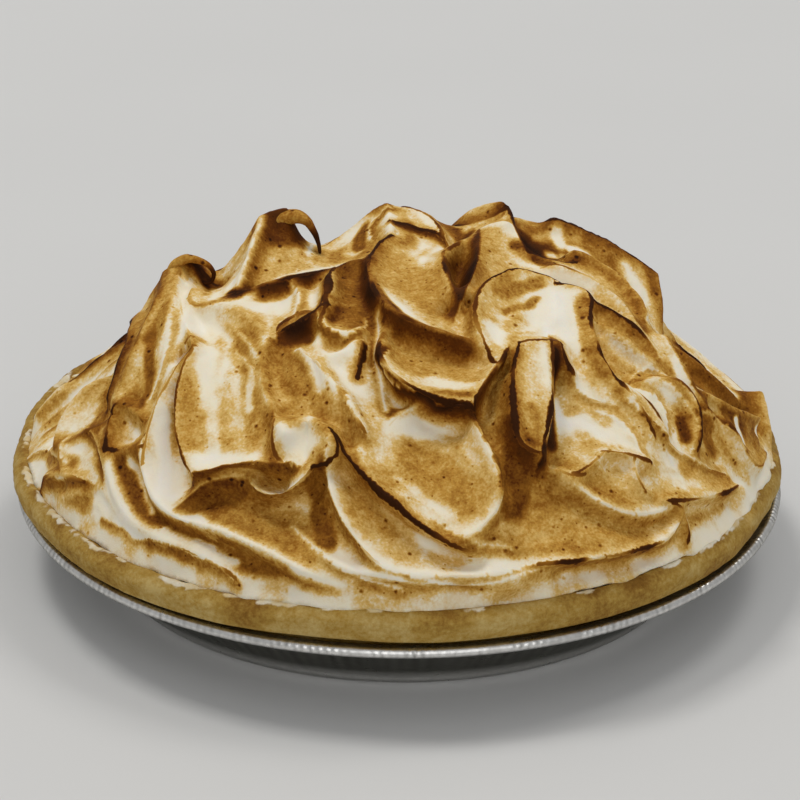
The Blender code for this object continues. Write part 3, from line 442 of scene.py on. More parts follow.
TOAST = [Patch(*row) for row in (
    # left
    ((199, 94), (204, 106), 7, 0.8), ((203, 107), (212, 124), 5, 0.55),
    ((210, 126), (220, 136), 6, 0.05, 0.7), ((181, 73), (206, 90), 2.5, 0.4, 0.8),
    ((204, 82), (218, 102), 2, 0.65), ((210, 110), (215, 118), 4, 0.42),
    ((218, 110), (222, 113), 1.6, 0, 0.9), ((221, 120), (229, 130), 5, 0.7),
    ((231, 132), (242, 134), 4.5, 0.75), ((243, 136), (251, 138), 4, 0.65),
    ((222, 101), (232, 126), 2.4, 0, 0.9), ((218, 106), (228, 126), 1.8, 0.36, 0.9),
    ((221, 140), (229, 141), 1.7, 0.55), ((229, 141), (246, 142), 1.5, 0.6),
    ((246, 142), (254, 143), 1.3, 0.5), ((208, 134), (214, 138), 2.4, 0.5),
    ((198, 137), (210, 132), 4, 0.5), ((204, 142), (216, 137), 4, 0.5),
    ((196, 144), (203, 144), 4, 0.05, 0.8), ((168, 74), (196, 82), 6, 0.5),
    ((196, 70), (213, 76), 3.4, 0, 0.9),
    # scoop
    ((228, 70), (244, 96), 5, 0.5, 0.9), ((220, 84), (234, 106), 4, 0.42),
    ((244, 66), (254, 85), 1.8, 0, 0.9), ((232, 74), (240, 92), 1.4, 0.05, 0.7),
    ((207, 67), (238, 106), 2.2, 0.1, 0.75), ((222, 92), (236, 108), 3.2, 0.36, 0.6),
    ((235, 112), (248, 105), 4, 0, 0.9), ((240, 70), (252, 86), 8, 0.52),
    ((248, 88), (256, 89), 5, 0.35, 0.8), ((222, 118), (230, 130), 1.6, 0, 0.8),
    ((234, 134), (246, 137), 1.8, 0, 0.8), ((238, 120), (244, 120), 7, 0.74),
    ((245, 126), (256, 128), 8, 0.5), ((256, 108), (259, 127), 3.5, 0.68),
    ((249, 97), (257, 98), 6, 0.03, 0.9), ((258, 100), (257, 103), 1.6, 0.32),
    ((249, 96), (254, 95), 2.4, 0.3, 0.9), ((249, 96), (250, 101), 2, 0.28, 0.9),
    ((252, 139), (263, 141), 3, 0.6), ((230, 127), (242, 130), 2.2, 0, 0.8),
    # centre
    ((260, 98), (271, 128), 7, 0.32), ((263, 110), (269, 122), 4, 0.46), ((272, 98), (281, 114), 5.5, 0.46),
    ((272, 88), (280, 88), 5, 0.05, 0.8), ((268, 85), (282, 83), 2.5, 0.8),
    ((255, 90), (261, 97), 3.5, 0.5), ((264, 140), (280, 142), 2.5, 0.45), ((290, 80), (290, 96), 6, 0.38),
    ((284, 91), (288, 98), 4, 0.45), ((280, 135), (294, 136), 3, 0, 0.7), ((242, 60), (244, 52), 6, 0.85),
    ((252, 62), (260, 66), 4, 0.05, 0.8), ((232, 28), (258, 52), 6, 0.6), ((250, 68), (260, 84), 2, 0, 0.8),
    ((254, 17), (286, 42), 9, 0.42), ((267, 60), (282, 75), 9, 0.42),
    ((278, 75), (284, 79), 3.4, 0.12, 0.9), ((270, 71), (277, 75), 2, 0.2, 0.7),
    ((340, 17), (306, 34), 3.6, 0.72), ((235, 17), (256, 38), 2.6, 0.85, 0.9),
    ((258, 40), (270, 52), 3.2, 0.9, 0.9), ((270, 53), (287, 63), 2.4, 0.74, 0.9),
    # top
    ((182, 42), (175, 32), 4.5, 0.78), ((203, 48), (198, 34), 4.5, 0.36, 0.9),
    ((190, 64), (200, 65), 2.2, 0.45), ((196, 62), (190, 46), 3.5, 0.26, 0.9), ((207, 54), (209, 50), 3, 1),
    ((212, 40), (216, 29), 2.5, 1), ((220, 54), (230, 48), 5, 0.05, 0.7), ((10, 25), (326, 38), 5, 0.34),
    ((21, 35), (10, 33), 1.6, 0.85), ((18, 41), (12, 47), 3.2, 0.85), ((11, 48), (0, 50), 2.6, 0.85),
    ((41, 29), (30, 32), 3.5, 0.12), ((42, 19), (38, 22), 2, 0.6), ((21, 53), (17, 53), 2.6, 0.1),
    ((15, 56), (13, 71), 1.6, 0.04), ((12, 75), (7, 83), 2.4, 0.08), ((16, 82), (10, 86), 2.4, 0.6),
    ((56, 38), (56, 58), 4, 0.2, 0.5), ((353, 36), (344, 48), 3, 0.72, 0.9),
    ((10, 48), (355, 50), 2.5, 0.05, 0.9), ((173, 16), (122, 19), 4, 0.1, 0.6),
    ((132, 17), (165, 14), 2.6, 0.66), ((78, 28), (11, 22), 2.5, 0.7),
    # right
    ((292, 109), (301, 126), 13, 0.54), ((288, 126), (308, 132), 6, 0.4), ((291, 102), (288, 118), 5, 0.74),
    ((286, 74), (297, 73), 4, 0.36), ((291, 82), (291, 92), 3.5, 0.46), ((293, 141), (314, 142), 3.5, 0.5),
    ((309, 92), (314, 109), 8, 0.05, 0.8), ((309, 90), (311, 98), 3.2, 0.34, 0.8),
    ((315, 95), (316, 108), 3, 0.33, 0.8), ((306, 101), (305, 109), 3, 0.36, 0.8),
    ((326, 89), (329, 100), 1, 0.55), ((327, 104), (331, 119), 1.2, 0.55),
    ((327, 109), (325, 115), 2, 0.78), ((316, 92), (320, 111), 1.2, 0.5), ((351, 108), (340, 116), 4, 0.72),
    ((341, 121), (345, 130), 4.5, 0.74), ((2, 130), (354, 134), 4, 0.72), ((336, 96), (331, 106), 2.4, 0),
    ((341, 122), (340, 128), 1.8, 0), ((302, 103), (308, 108), 5, 0.35, 0.7),
    ((309, 72), (299, 101), 2.6, 0.95), ((308, 82), (307, 92), 2.6, 0.32),
    ((299, 79), (294, 96), 4, 0.24, 0.9), ((295, 90), (294, 99), 1.6, 0.45, 0.9),
    ((326, 48), (318, 58), 7, 0.1, 0.9), ((309, 48), (325, 50), 2, 0.5), ((306, 54), (320, 54), 1.4, 0.52),
    ((296, 61), (298, 68), 4, 0.05, 0.9), ((328, 59), (316, 74), 3.5, 0.08, 0.8),
    ((330, 63), (317, 78), 2.6, 0.42), ((326, 56), (315, 70), 2.4, 0.04, 0.9),
    ((332, 65), (337, 80), 1.3, 0.85), ((328, 72), (333, 86), 3.4, 0.32), ((30, 64), (2, 77), 5, 0.55),
    ((2, 72), (346, 82), 2.4, 0.03, 0.9), ((340, 66), (338, 81), 3, 0.6), ((328, 74), (330, 91), 5, 0.42),
    ((320, 98), (322, 107), 6, 0.05, 0.7), ((336, 104), (332, 122), 4, 0.62),
    ((351, 112), (357, 134), 8, 0.6, 0.9), ((346, 118), (344, 131), 5, 0.55),
    ((352, 127), (347, 132), 1.6, 0, 0.9), ((348, 96), (344, 107), 3.5, 0.85),
    ((336, 98), (332, 108), 2, 0, 0.9), ((322, 123), (330, 133), 3, 0.4),
)]


# Dome

def spot(bearing, reach):
    """Flat plan point of a place on the dome."""
    angle = math.radians(bearing)
    return np.array([reach * math.cos(angle), reach * math.sin(angle)])


def dome_profile():
    """Radius and height along the dome from its top to the lip, then under the lip to the seat."""
    turn = np.linspace(0.0, math.pi / 2, 600)
    radius = LIP_RADIUS * np.sin(turn) ** (2 / ROUNDNESS)
    height = LIP_HEIGHT + (DOME_HEIGHT - LIP_HEIGHT) * np.cos(turn) ** (2 / PEAKEDNESS)
    lip_index = len(turn) - 1
    s = np.linspace(0.0, 1.0, 60)[1:]
    corners = np.array([[LIP_RADIUS, LIP_HEIGHT], [LIP_RADIUS + 0.2, LIP_HEIGHT - 1.6],
                        [SEAT_RADIUS + 7.0, SEAT_HEIGHT + 6.6], [SEAT_RADIUS, SEAT_HEIGHT]])
    weights = np.stack([(1 - s) ** 3, 3 * s * (1 - s) ** 2, 3 * s * s * (1 - s), s ** 3], axis=1)
    under = weights @ corners
    radius = np.concatenate([radius, under[:, 0]])
    height = np.concatenate([height, under[:, 1]])
    reach = np.concatenate([[0.0], np.cumsum(np.hypot(np.diff(radius), np.diff(height)))])
    return reach, radius, height, reach[lip_index]


REACH, RADIUS, HEIGHT, LIP_REACH = dome_profile()
SEAT_REACH = REACH[-1]
SLOPE_R = np.gradient(RADIUS, REACH)
SLOPE_Z = np.gradient(HEIGHT, REACH)


def on_dome(plan, lift):
    """Places plan points on the dome, lifted off it along its normal."""
    reach = np.hypot(plan[:, 0], plan[:, 1])
    outward = plan / np.maximum(reach, 1e-6)[:, None]
    slope_r = np.interp(reach, REACH, SLOPE_R)
    slope_z = np.interp(reach, REACH, SLOPE_Z)
    size = np.hypot(slope_r, slope_z)
    radius = np.interp(reach, REACH, RADIUS) - slope_z / size * lift
    height = np.interp(reach, REACH, HEIGHT) + slope_r / size * lift
    return np.column_stack([outward * radius[:, None], height])


# Noise and grids

def ease(x):
    """Smooth step from 0 at 0 and below to 1 at 1 and above."""
    x = np.clip(x, 0, 1)
    return x * x * (3 - 2 * x)


def soft_noise(points, size, seed):
    """Smooth noise from -1 to 1 at points, with lumps about one size across."""
    points = np.atleast_2d(points) / size
    low = np.floor(points).astype(np.int64)
    share = ease(points - low)
    total = np.zeros(len(points))
    dimensions = points.shape[1]
    for corner in range(2 ** dimensions):
        steps = np.array([(corner >> k) & 1 for k in range(dimensions)])
        cell = low + steps
        mixed = np.full(len(points), seed * 7919, dtype=np.int64)
        for k in range(dimensions):
            mixed = (mixed ^ (cell[:, k] * (73856093, 19349663, 83492791)[k])) * 1274126177 & 0x7FFFFFFF
        mixed = (mixed ^ (mixed >> 13)) * 1103515245 & 0x7FFFFFFF
        value = (mixed >> 7 & 0xFFFF) / 32767.5 - 1
        weight = np.where(steps == 1, share, 1 - share).prod(axis=1)
        total += value * weight
    return total


def noises(points, *layers):
    """Sum of soft noises, each given as its share, size and seed."""
    return sum(share * soft_noise(points, size, seed) for share, size, seed in layers)


def enlarge(old_axis, old, axis):
    """Reads a coarse square grid at a finer one's places."""
    place = (axis - old_axis[0]) / (old_axis[1] - old_axis[0])
    low = np.clip(np.floor(place).astype(int), 0, len(old_axis) - 2)
    share = place - low
    rows = old[low] * (1 - share)[:, None] + old[low + 1] * share[:, None]
    return rows[:, low] * (1 - share) + rows[:, low + 1] * share


def read_grid(axis, grid, plan):
    """A grid's value at plan points, between its cells."""
    place = (plan - axis[0]) / (axis[1] - axis[0])
    low = np.clip(np.floor(place).astype(int), 0, len(axis) - 2)
    share = place - low
    i, j = low.T
    u, v = share.T
    return (grid[i, j] * (1 - u) * (1 - v) + grid[i + 1, j] * u * (1 - v)
            + grid[i, j + 1] * (1 - u) * v + grid[i + 1, j + 1] * u * v)


# Folds

def crest_line(fold, step):
    """Points along a fold's crest about one step apart."""
    first = spot(*fold.start)
    chord = spot(*fold.end) - first
    length = math.hypot(*chord)
    side = np.array([-chord[1], chord[0]]) / length
    # a leaning crest stands back from its arc, and leans onto it
    bow = fold.bow - fold.lee * fold.lean
    count = max(3, round(math.hypot(length, 2 * bow) / step) + 1)
    along = np.linspace(0.0, 1.0, count)
    bulge = 4 * along * (1 - along)
    points = first + np.outer(along, chord) + np.outer(bulge * bow, side)
    heading = np.gradient(points, axis=0)
    heading /= np.hypot(heading[:, 0], heading[:, 1])[:, None]
    left = np.stack([-heading[:, 1], heading[:, 0]], axis=1)
    height = fold.rise[0] + (fold.rise[1] - fold.rise[0]) * along + fold.hump * bulge
    strength = np.ones(count)
    for sink, distance in zip(fold.fade, (along, 1 - along)):
        near = ease(1 - distance / FADE_SHARE)
        height -= sink * near
        if sink > 0:
            strength *= 1 - near
    return Crest(along, points, left, height, strength)


def held_cells(folds, size, half, reach):
    """Marks the grid cells that crests and lee valleys hold, with their heights."""
    count = len(reach)
    free = reach < LIP_REACH - 0.5 * size
    held = ~free
    height = np.zeros(reach.shape)
    crests = [crest_line(fold, size * 0.6) for fold in folds]

    def cells(points):
        found = np.rint((points + half) / size).astype(int)
        return np.clip(found, 0, count - 1)

    for fold, crest in zip(folds, crests):
        if fold.drop > 0:
            strong = crest.strength > 0.3
            offset = fold.lee * (VALLEY_OFFSET + VALLEY_SPREAD * fold.drop)
            valley = cells((crest.points + crest.left * offset)[strong])
            for (i, j), value in zip(valley, (crest.height - fold.drop * crest.strength)[strong]):
                if free[i, j]:
                    held[i, j] = True
                    height[i, j] = value
    # a strip beside every crest is let go, so that no valley cuts through a crest
    margin = max(1, round(2.0 / size))
    for crest in crests:
        for i, j in cells(crest.points):
            block = (slice(max(i - margin, 0), i + margin + 1), slice(max(j - margin, 0), j + margin + 1))
            held[block] &= ~free[block]
            height[block] = np.where(free[block], -np.inf, height[block])
    for crest in crests:
        for (i, j), value in zip(cells(crest.points), crest.height):
            if free[i, j]:
                held[i, j] = True
                height[i, j] = max(height[i, j], value)
    height[~held] = 0.0
    return held, height


def blur(grid, rounds):
    """Softens a grid over about one cell a round."""
    for _ in range(rounds):
        beside = grid[2:, 1:-1] + grid[:-2, 1:-1] + grid[1:-1, 2:] + grid[1:-1, :-2]
        corner = grid[2:, 2:] + grid[2:, :-2] + grid[:-2, 2:] + grid[:-2, :-2]
        grid[1:-1, 1:-1] = (4 * grid[1:-1, 1:-1] + 2 * beside + corner) / 16
    return grid


def sagging_surface(folds):
    """Lift off the dome on a square grid: held along the crests, sagging between them."""
    half = math.ceil(SEAT_REACH) + 2.0
    axis = None
    lift = None
    for size, rounds in ((4 * GRID_STEP, 500), (2 * GRID_STEP, 300), (GRID_STEP, 300)):
        new_axis = np.arange(-half, half + size / 2, size)
        across, along = np.meshgrid(new_axis, new_axis, indexing="ij")
        held, height = held_cells(folds, size, half, np.hypot(across, along))
        start = np.full(held.shape, -5.0) if lift is None else enlarge(axis, lift, new_axis)
        lift = np.where(held, height, start)
        axis = new_axis
        stiffness = 4.0 + (size / SAG_REACH) ** 2
        for _ in range(rounds):
            near = lift[2:, 1:-1] + lift[:-2, 1:-1] + lift[1:-1, 2:] + lift[1:-1, :-2]
            inner = (near - SAG_RATE * size * size) / stiffness
            lift[1:-1, 1:-1] = np.where(held[1:-1, 1:-1], lift[1:-1, 1:-1], inner)
    return axis, blur(lift, 1)


def drag_lines(folds, axis):
    """A grid of streaks that follow the crests, as a knife draws them, from about -2 to 2."""
    step = axis[1] - axis[0]
    count = len(axis)
    flow = np.zeros((2, count, count))
    held = np.zeros((count, count), dtype=bool)
    for fold in folds:
        crest = crest_line(fold, step * 0.7)
        i, j = np.clip(np.rint((crest.points - axis[0]) / step).astype(int), 0, count - 1).T
        # a direction and its opposite are the same line, so the angle is doubled
        angle = 2 * np.arctan2(-crest.left[:, 0], crest.left[:, 1])
        flow[0, i, j] = np.cos(angle)
        flow[1, i, j] = np.sin(angle)
        held[i, j] = True
    for _ in range(160):
        near = (flow[:, 2:, 1:-1] + flow[:, :-2, 1:-1] + flow[:, 1:-1, 2:] + flow[:, 1:-1, :-2]) / 4
        flow[:, 1:-1, 1:-1] = np.where(held[1:-1, 1:-1], flow[:, 1:-1, 1:-1], near)
    angle = np.arctan2(flow[1], flow[0]) / 2
    turn = np.stack([np.cos(angle), np.sin(angle)])
    grain = blur(np.random.default_rng(5).normal(size=(count, count)), 1)
    total = grain.copy()
    rounds = round(DRAG_REACH / step)
    for sense in (1, -1):
        at = np.stack(np.meshgrid(np.arange(count), np.arange(count), indexing="ij")).astype(float)
        heading = turn * sense
        for _ in range(rounds):
            at = np.clip(at + heading, 0, count - 1)
            i, j = np.rint(at).astype(int)
            ahead = turn[:, i, j]
            heading = ahead * np.where((ahead * heading).sum(axis=0) < 0, -1, 1)
            total += grain[i, j]
    return total / total.std()


def beside(fold, plan, width):
    """Plan points near a crest: which, how far to its left, how far off, and the crest's values there."""
    step = 1.2
    crest = crest_line(fold, step)
    low = crest.points.min(axis=0) - width
    high = crest.points.max(axis=0) + width
    which = np.flatnonzero(((plan > low) & (plan < high)).all(axis=1))
    apart = plan[which, None] - crest.points[None]
    distance = np.hypot(apart[..., 0], apart[..., 1])
    nearest = distance.argmin(axis=1)
    left = crest.left[nearest]
    apart = apart[np.arange(len(which)), nearest]
    sideways = (apart * left).sum(axis=1)
    onward = np.abs(apart[:, 0] * left[:, 1] - apart[:, 1] * left[:, 0])
    distance = np.hypot(sideways, np.maximum(onward - 0.6 * step, 0))
    return which, sideways, distance, left, crest.along[nearest], crest.strength[nearest]


def taper(along):
    """Narrows a crest toward both its ends."""
    return np.sqrt(np.sin(math.pi * np.clip(along, 0.02, 0.98)))


def lean(folds, plan):
    """Sideways shift of plan points that leans each crest over its lee side."""
    shift = np.zeros_like(plan)
    for fold in folds:
        if fold.lean == 0:
            continue
        which, sideways, distance, left, along, strength = beside(fold, plan, 2.5 * BACK_WIDTH)
        width = np.where(sideways * fold.lee > 0, LEE_WIDTH, BACK_WIDTH)
        amount = fold.lean * np.exp(-(distance / width) ** 2) * taper(along) * strength
        shift[which] += left * (fold.lee * amount)[:, None]
    return shift


def crease_lift(creases, plan):
    """How far the creases raise plan points: steep on the lee side and gentle behind."""
    lift = np.zeros(len(plan))
    for crease in creases:
        which, sideways, distance, _, along, strength = beside(crease, plan, 3 * CREASE_BACK)
        width = np.where(sideways * crease.lee > 0, CREASE_LEE, CREASE_BACK)
        rise = np.interp(along, (0, 1), crease.rise) * taper(along)
        lift[which] = np.maximum(lift[which], rise * strength * np.exp(-(distance / width) ** 2))
    return lift


# Toasting

def toast_levels(folds, creases, patches, plan, streaks):
    """How toasted the surface is at plan points, with a few marks of painted shade, how burnt the nearest
    crest is and how far off it lies.
    """
    wander = np.column_stack([noises(plan, (1, 9.0, seed), (0.5, 3.5, seed + 2)) for seed in (11, 12)])
    loose = plan + WANDER * wander
    level = PLAIN_LEVEL + CLOUD_LEVEL * soft_noise(plan, 15.0, 15) + STREAK_LEVEL * streaks
    for patch in patches:
        first = spot(*patch.start)
        chord = spot(*patch.end) - first
        share = np.clip(((loose - first) @ chord) / (chord @ chord), 0, 1)
        apart = loose - first - share[:, None] * chord
        distance = np.hypot(apart[:, 0], apart[:, 1]) / patch.width
        level += (patch.level - level) * patch.cover * ease((PATCH_END - distance) / PATCH_FADE)
    lip = LIP_COVER * ease((np.hypot(loose[:, 0], loose[:, 1]) - LIP_REACH + LIP_PALE) / LIP_FADE)
    level += (LIP_LEVEL + LIP_CLOUD * np.clip(soft_noise(plan, 11.0, 17), 0, 1) - level) * lip
    burnt = np.zeros(len(plan))
    apart = np.full(len(plan), LINE_REACH)
    strongest = np.zeros(len(plan))
    halo = np.zeros(len(plan))
    flicker = np.clip(0.85 + 0.6 * soft_noise(plan, 8.0, 16), 0.25, 1.1)
    for fold, band in [(fold, 1.0) for fold in folds] + [(crease, CREASE_BAND) for crease in creases]:
        which, sideways, distance, _, _, strength = beside(fold, plan, 10.0)
        lee = sideways * fold.lee > 0
        near = np.where(lee, UNDER_EDGE - distance / (band * UNDER_BAND), 1 - distance / (band * BACK_BAND))
        target = np.where(lee, fold.under, fold.back)
        level[which] += (target - level[which]) * BAND_COVER * ease(near) * strength
        # a crest that isn't burnt stays white
        ridge = np.clip(0.95 - 2 * fold.burn, 0, 0.85) * np.exp(-(distance / RIDGE_WIDTH) ** 2) * strength
        level[which] += (RIDGE_LEVEL - level[which]) * ridge
        burn = fold.burn * strength * flicker[which]
        halo[which] = np.maximum(halo[which], burn * np.exp(-(distance / HALO_WIDTH) ** 2))
        weight = (0.05 + burn) * np.exp(-distance / LINE_NEARNESS)
        wins = (weight > strongest[which]) & (distance < LINE_REACH)
        which = which[wins]
        strongest[which] = weight[wins]
        burnt[which] = burn[wins]
        apart[which] = distance[wins]
    return np.clip(level + HALO_SHARE * halo, 0, 1), burnt, apart


# Meshes

def plan_mesh(folds):
    """Triangles over the flat plan, with each crest, the lip and the seat kept as edges."""
    points = []
    edges = []
    rails = []
    crest_heights = {}

    def add_line(line, closed):
        first = len(points)
        points.extend(map(tuple, line))
        last = len(line) if closed else len(line) - 1
        edges.extend((first + k, first + (k + 1) % len(line)) for k in range(last))

    for reach, step in ((SEAT_REACH, HIDDEN_STEP), (LIP_REACH, 1.4 * MESH_STEP)):
        angle = np.linspace(0, 2 * math.pi, round(2 * math.pi * reach / step), endpoint=False)
        add_line(np.column_stack([np.cos(angle), np.sin(angle)]) * reach, True)
    for fold in folds:
        at_back = min(spot(*fold.start)[1], spot(*fold.end)[1]) > BACK_LINE
        crest = crest_line(fold, BACK_STEP if at_back else MESH_STEP)
        inside = np.hypot(crest.points[:, 0], crest.points[:, 1]) < LIP_REACH - MESH_STEP
        for k, height in enumerate(crest.height[inside]):
            crest_heights[len(points) + k] = height
        add_line(crest.points[inside], False)
        rails.append((crest.points[inside], crest.left[inside]))

    # points beside each crest, where no other crest is nearer
    crests = np.array(points)
    for line, left in rails:
        for side in (RAIL_OFFSET, -RAIL_OFFSET):
            rail = line + left * side
            low = rail.min(axis=0) - 2 * MESH_STEP
            high = rail.max(axis=0) + 2 * MESH_STEP
            near = crests[((crests > low) & (crests < high)).all(axis=1)]
            clear = np.hypot(*(rail[:, None] - near[None]).transpose(2, 0, 1)).min(axis=1) > 0.8 * RAIL_OFFSET
            points.extend(map(tuple, rail[clear]))

    # the lattice leaves out points that crowd a line
    crowd = 0.6 * MESH_STEP
    lines = np.array(points)
    taken = set(map(tuple, np.floor(lines / crowd).astype(int)))
    whole = (-SEAT_REACH, SEAT_REACH)
    for step, nearest, furthest, (front, behind) in (
            (MESH_STEP, 0.0, LIP_REACH, (-SEAT_REACH, BACK_LINE)),
            (BACK_STEP, 0.0, LIP_REACH, (BACK_LINE, SEAT_REACH)),
            (HIDDEN_STEP, LIP_REACH + 1.5, SEAT_REACH - 1.5, whole)):
        for row, y in enumerate(np.arange(front, behind, step * math.sqrt(3) / 2)):
            xs = np.arange(-SEAT_REACH + (row % 2) * step / 2, SEAT_REACH, step)
            reach = np.hypot(xs, y)
            xs = xs[(reach >= nearest) & (reach < furthest)]
            low = int(y // crowd)
            for x in xs:
                column = int(x // crowd)
                if not any((column + i, low + j) in taken for i in (-1, 0, 1) for j in (-1, 0, 1)):
                    points.append((x, y))

    corners = [Vector(p) for p in points]
    found, _, faces, origins, _, _ = delaunay_2d_cdt(corners, edges, [], 1, 1e-3, True)
    plan = np.array([v[:] for v in found])
    crest_height = np.full(len(plan), np.nan)
    for k, olds in enumerate(origins):
        heights = [crest_heights[i] for i in olds if i in crest_heights]
        if heights:
            crest_height[k] = max(heights)
    return plan, np.array(faces), crest_height


def edge_loop(faces):
    """The mesh's open edge as an ordered loop of corners."""
    sides = {(a, b) for face in faces.tolist() for a, b in zip(face, face[1:] + face[:1])}
    after = {a: b for a, b in sides if (b, a) not in sides}
    start = min(after)
    loop = [start]
    while after[loop[-1]] != start:
        loop.append(after[loop[-1]])
    return loop


def corner_normals(points, faces):
    """Unit normals at a triangle mesh's corners."""
    a, b, c = (points[faces[:, k]] for k in range(3))
    flat = np.cross(b - a, c - a)
    normals = np.zeros_like(points)
    for axis in range(3):
        for k in range(3):
            normals[:, axis] += np.bincount(faces[:, k], flat[:, axis], len(points))
    return normals / np.maximum(np.linalg.norm(normals, axis=1), 1e-9)[:, None]


def soften(points, faces, amount, rounds):
    """Moves each corner part of the way to its neighbours' middle."""
    links = np.vstack([faces[:, [0, 1]], faces[:, [1, 2]], faces[:, [2, 0]]])
    count = np.bincount(links.ravel(), minlength=len(points))
    for _ in range(rounds):
        total = np.zeros_like(points)
        for axis in range(3):
            total[:, axis] += np.bincount(links[:, 0], points[links[:, 1], axis], len(points))
            total[:, axis] += np.bincount(links[:, 1], points[links[:, 0], axis], len(points))
        points = points + (total / count[:, None] - points) * amount[:, None]
    return points


def new_piece(name, points, faces, material, values):
    """A smooth mesh piece that rides on the pie, with values at its points for the material."""
    mesh = bpy.data.meshes.new(name)
    mesh.from_pydata((points * METRES).tolist(), [], [tuple(face) for face in faces])
    for key, value in values.items():
        mesh.attributes.new(key, "FLOAT", "POINT").data.foreach_set("value", value.astype(np.float32))
    mesh.materials.append(material)
    mesh.shade_smooth()
    piece = bpy.data.objects.new(name, mesh)
    bpy.context.scene.collection.objects.link(piece)
    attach(piece, "root")
    return piece


def rounded(corners, step):
    """Points about one step apart on a smooth line through a profile's corners."""
    corners = np.array(corners, dtype=float)
    padded = np.vstack([2 * corners[0] - corners[1], corners, 2 * corners[-1] - corners[-2]])
    line = [corners[:1]]
    for before, start, end, after in zip(padded, padded[1:], padded[2:], padded[3:]):
        count = max(1, round(math.hypot(*(end - start)) / step))
        t = (np.arange(1, count + 1) / count)[:, None]
        line.append(0.5 * (2 * start + (end - before) * t
                           + (2 * before - 5 * start + 4 * end - after) * t ** 2
                           + (3 * start - before - 3 * end + after) * t ** 3))
    return np.vstack(line)


def turned_faces(sides, rows):
    """Faces of a turned solid: its first and last points are on the axis."""
    last = sides * rows + 1
    side = np.arange(sides)
    here = 1 + side * rows
    there = 1 + (side + 1) % sides * rows
    faces = [(0, b, a) for a, b in zip(here, there)]
    faces += [(last, a + rows - 1, b + rows - 1) for a, b in zip(here, there)]
    for k in range(rows - 1):
        faces += list(zip(here + k, there + k, there + k + 1, here + k + 1))
    return faces


def turned_points(angle, radius, height, first, last, shift=0.0):
    """Points of a turned solid, side by side, between the heights of its two points on the axis."""
    across = radius * np.cos(angle)[:, None] + shift
    along = radius * np.sin(angle)[:, None]
    points = np.stack([across, along, height], axis=-1).reshape(-1, 3)
    return np.vstack([[0, 0, first], points, [0, 0, last]])


def with_ends(grid):
    """A turned solid's values for each of its points, with 0 on the axis."""
    return np.concatenate([[0], grid.ravel(), [0]])


# Materials

class Nodes:
    """A material's node tree, with short names for the nodes used here."""

    def __init__(self, name):
        self.material = bpy.data.materials.new(name)
        self.material.use_nodes = True
        self.tree = self.material.node_tree
        self.shader = self.tree.nodes["Principled BSDF"]
        self.place = self.add("TexCoord").outputs["Object"]

    def link(self, value, socket):
        if isinstance(value, bpy.types.NodeSocket):
            self.tree.links.new(value, socket)
        else:
            socket.default_value = value

    def fill(self, node, values):
        """Sets or links a node's inputs. An underscore in a name stands for a space."""
        for key, value in values.items():
            self.link(value, node.inputs[key.replace("_", " ")])

    def add(self, kind, **values):
        node = self.tree.nodes.new("ShaderNode" + kind)
        self.fill(node, values)
        return node

    def set(self, **values):
        self.fill(self.shader, values)

    def attribute(self, name):
        node = self.add("Attribute")
        node.attribute_name = name
        return node.outputs["Fac"]

    def noise(self, size, detail=2.0, roughness=0.5, stretch=(1, 1, 1)):
        """Noise from 0 to 1 with features of about a size in millimetres."""
        place = self.add("Mapping", Vector=self.place, Scale=[1 / (size * METRES * s) for s in stretch])
        node = self.add("TexNoise", Vector=place.outputs["Vector"], Scale=1.0, Detail=detail,
                        Roughness=roughness)
        return node.outputs["Fac"]

    def cells(self, size):
        """Distance from scattered points about a size in millimetres apart, and a random value for each."""
        node = self.add("TexVoronoi", Vector=self.place, Scale=1 / (size * METRES))
        parts = self.add("SeparateColor", Color=node.outputs["Color"])
        return node.outputs["Distance"], parts.outputs["Red"]

    def maths(self, operation, *values):
        node = self.add("Math")
        node.operation = operation
        for value, socket in zip(values, node.inputs):
            self.link(value, socket)
        return node.outputs["Value"]

    def times(self, first, second, plus=0.0):
        """Product of two values, plus a third."""
        return self.maths("MULTIPLY_ADD", first, second, plus)

    def around(self, noise, share, base):
        """A base value that noise raises and lowers."""
        return self.times(self.maths("SUBTRACT", noise, 0.5), share, base)

    def blend(self, first, share, second):
        """Mean of two values, by the first one's share."""
        return self.times(first, share, self.times(second, 1 - share))

    def spread(self, value, low, high, start=0.0, end=1.0):
        """Eases a value between two limits to a new range."""
        node = self.add("MapRange", Value=value, From_Min=low, From_Max=high, To_Min=start, To_Max=end)
        node.interpolation_type = "SMOOTHSTEP"
        return node.outputs["Result"]

    def ramp(self, value, stops):
        node = self.add("ValToRGB", Fac=value)
        points = node.color_ramp.elements
        while len(points) < len(stops):
            points.new(0.5)
        for point, (position, colour) in zip(points, stops):
            point.position = position
            point.color = (*colour, 1.0)
        return node.outputs["Color"]

    def mix(self, share, first, second):
        node = self.add("Mix")
        node.data_type = "RGBA"
        self.link(share, node.inputs["Factor"])
        for value, key in ((first, "A"), (second, "B")):
            socket = next(s for s in node.inputs if s.name == key and s.type == "RGBA")
            self.link(value if isinstance(value, bpy.types.NodeSocket) else (*value, 1.0), socket)
        return next(s for s in node.outputs if s.type == "RGBA")

    def bump(self, height, rise):
        """Bump from a height of 0 to 1 that stands for a rise in millimetres."""
        self.set(Normal=self.add("Bump", Distance=rise * METRES, Height=height).outputs["Normal"])


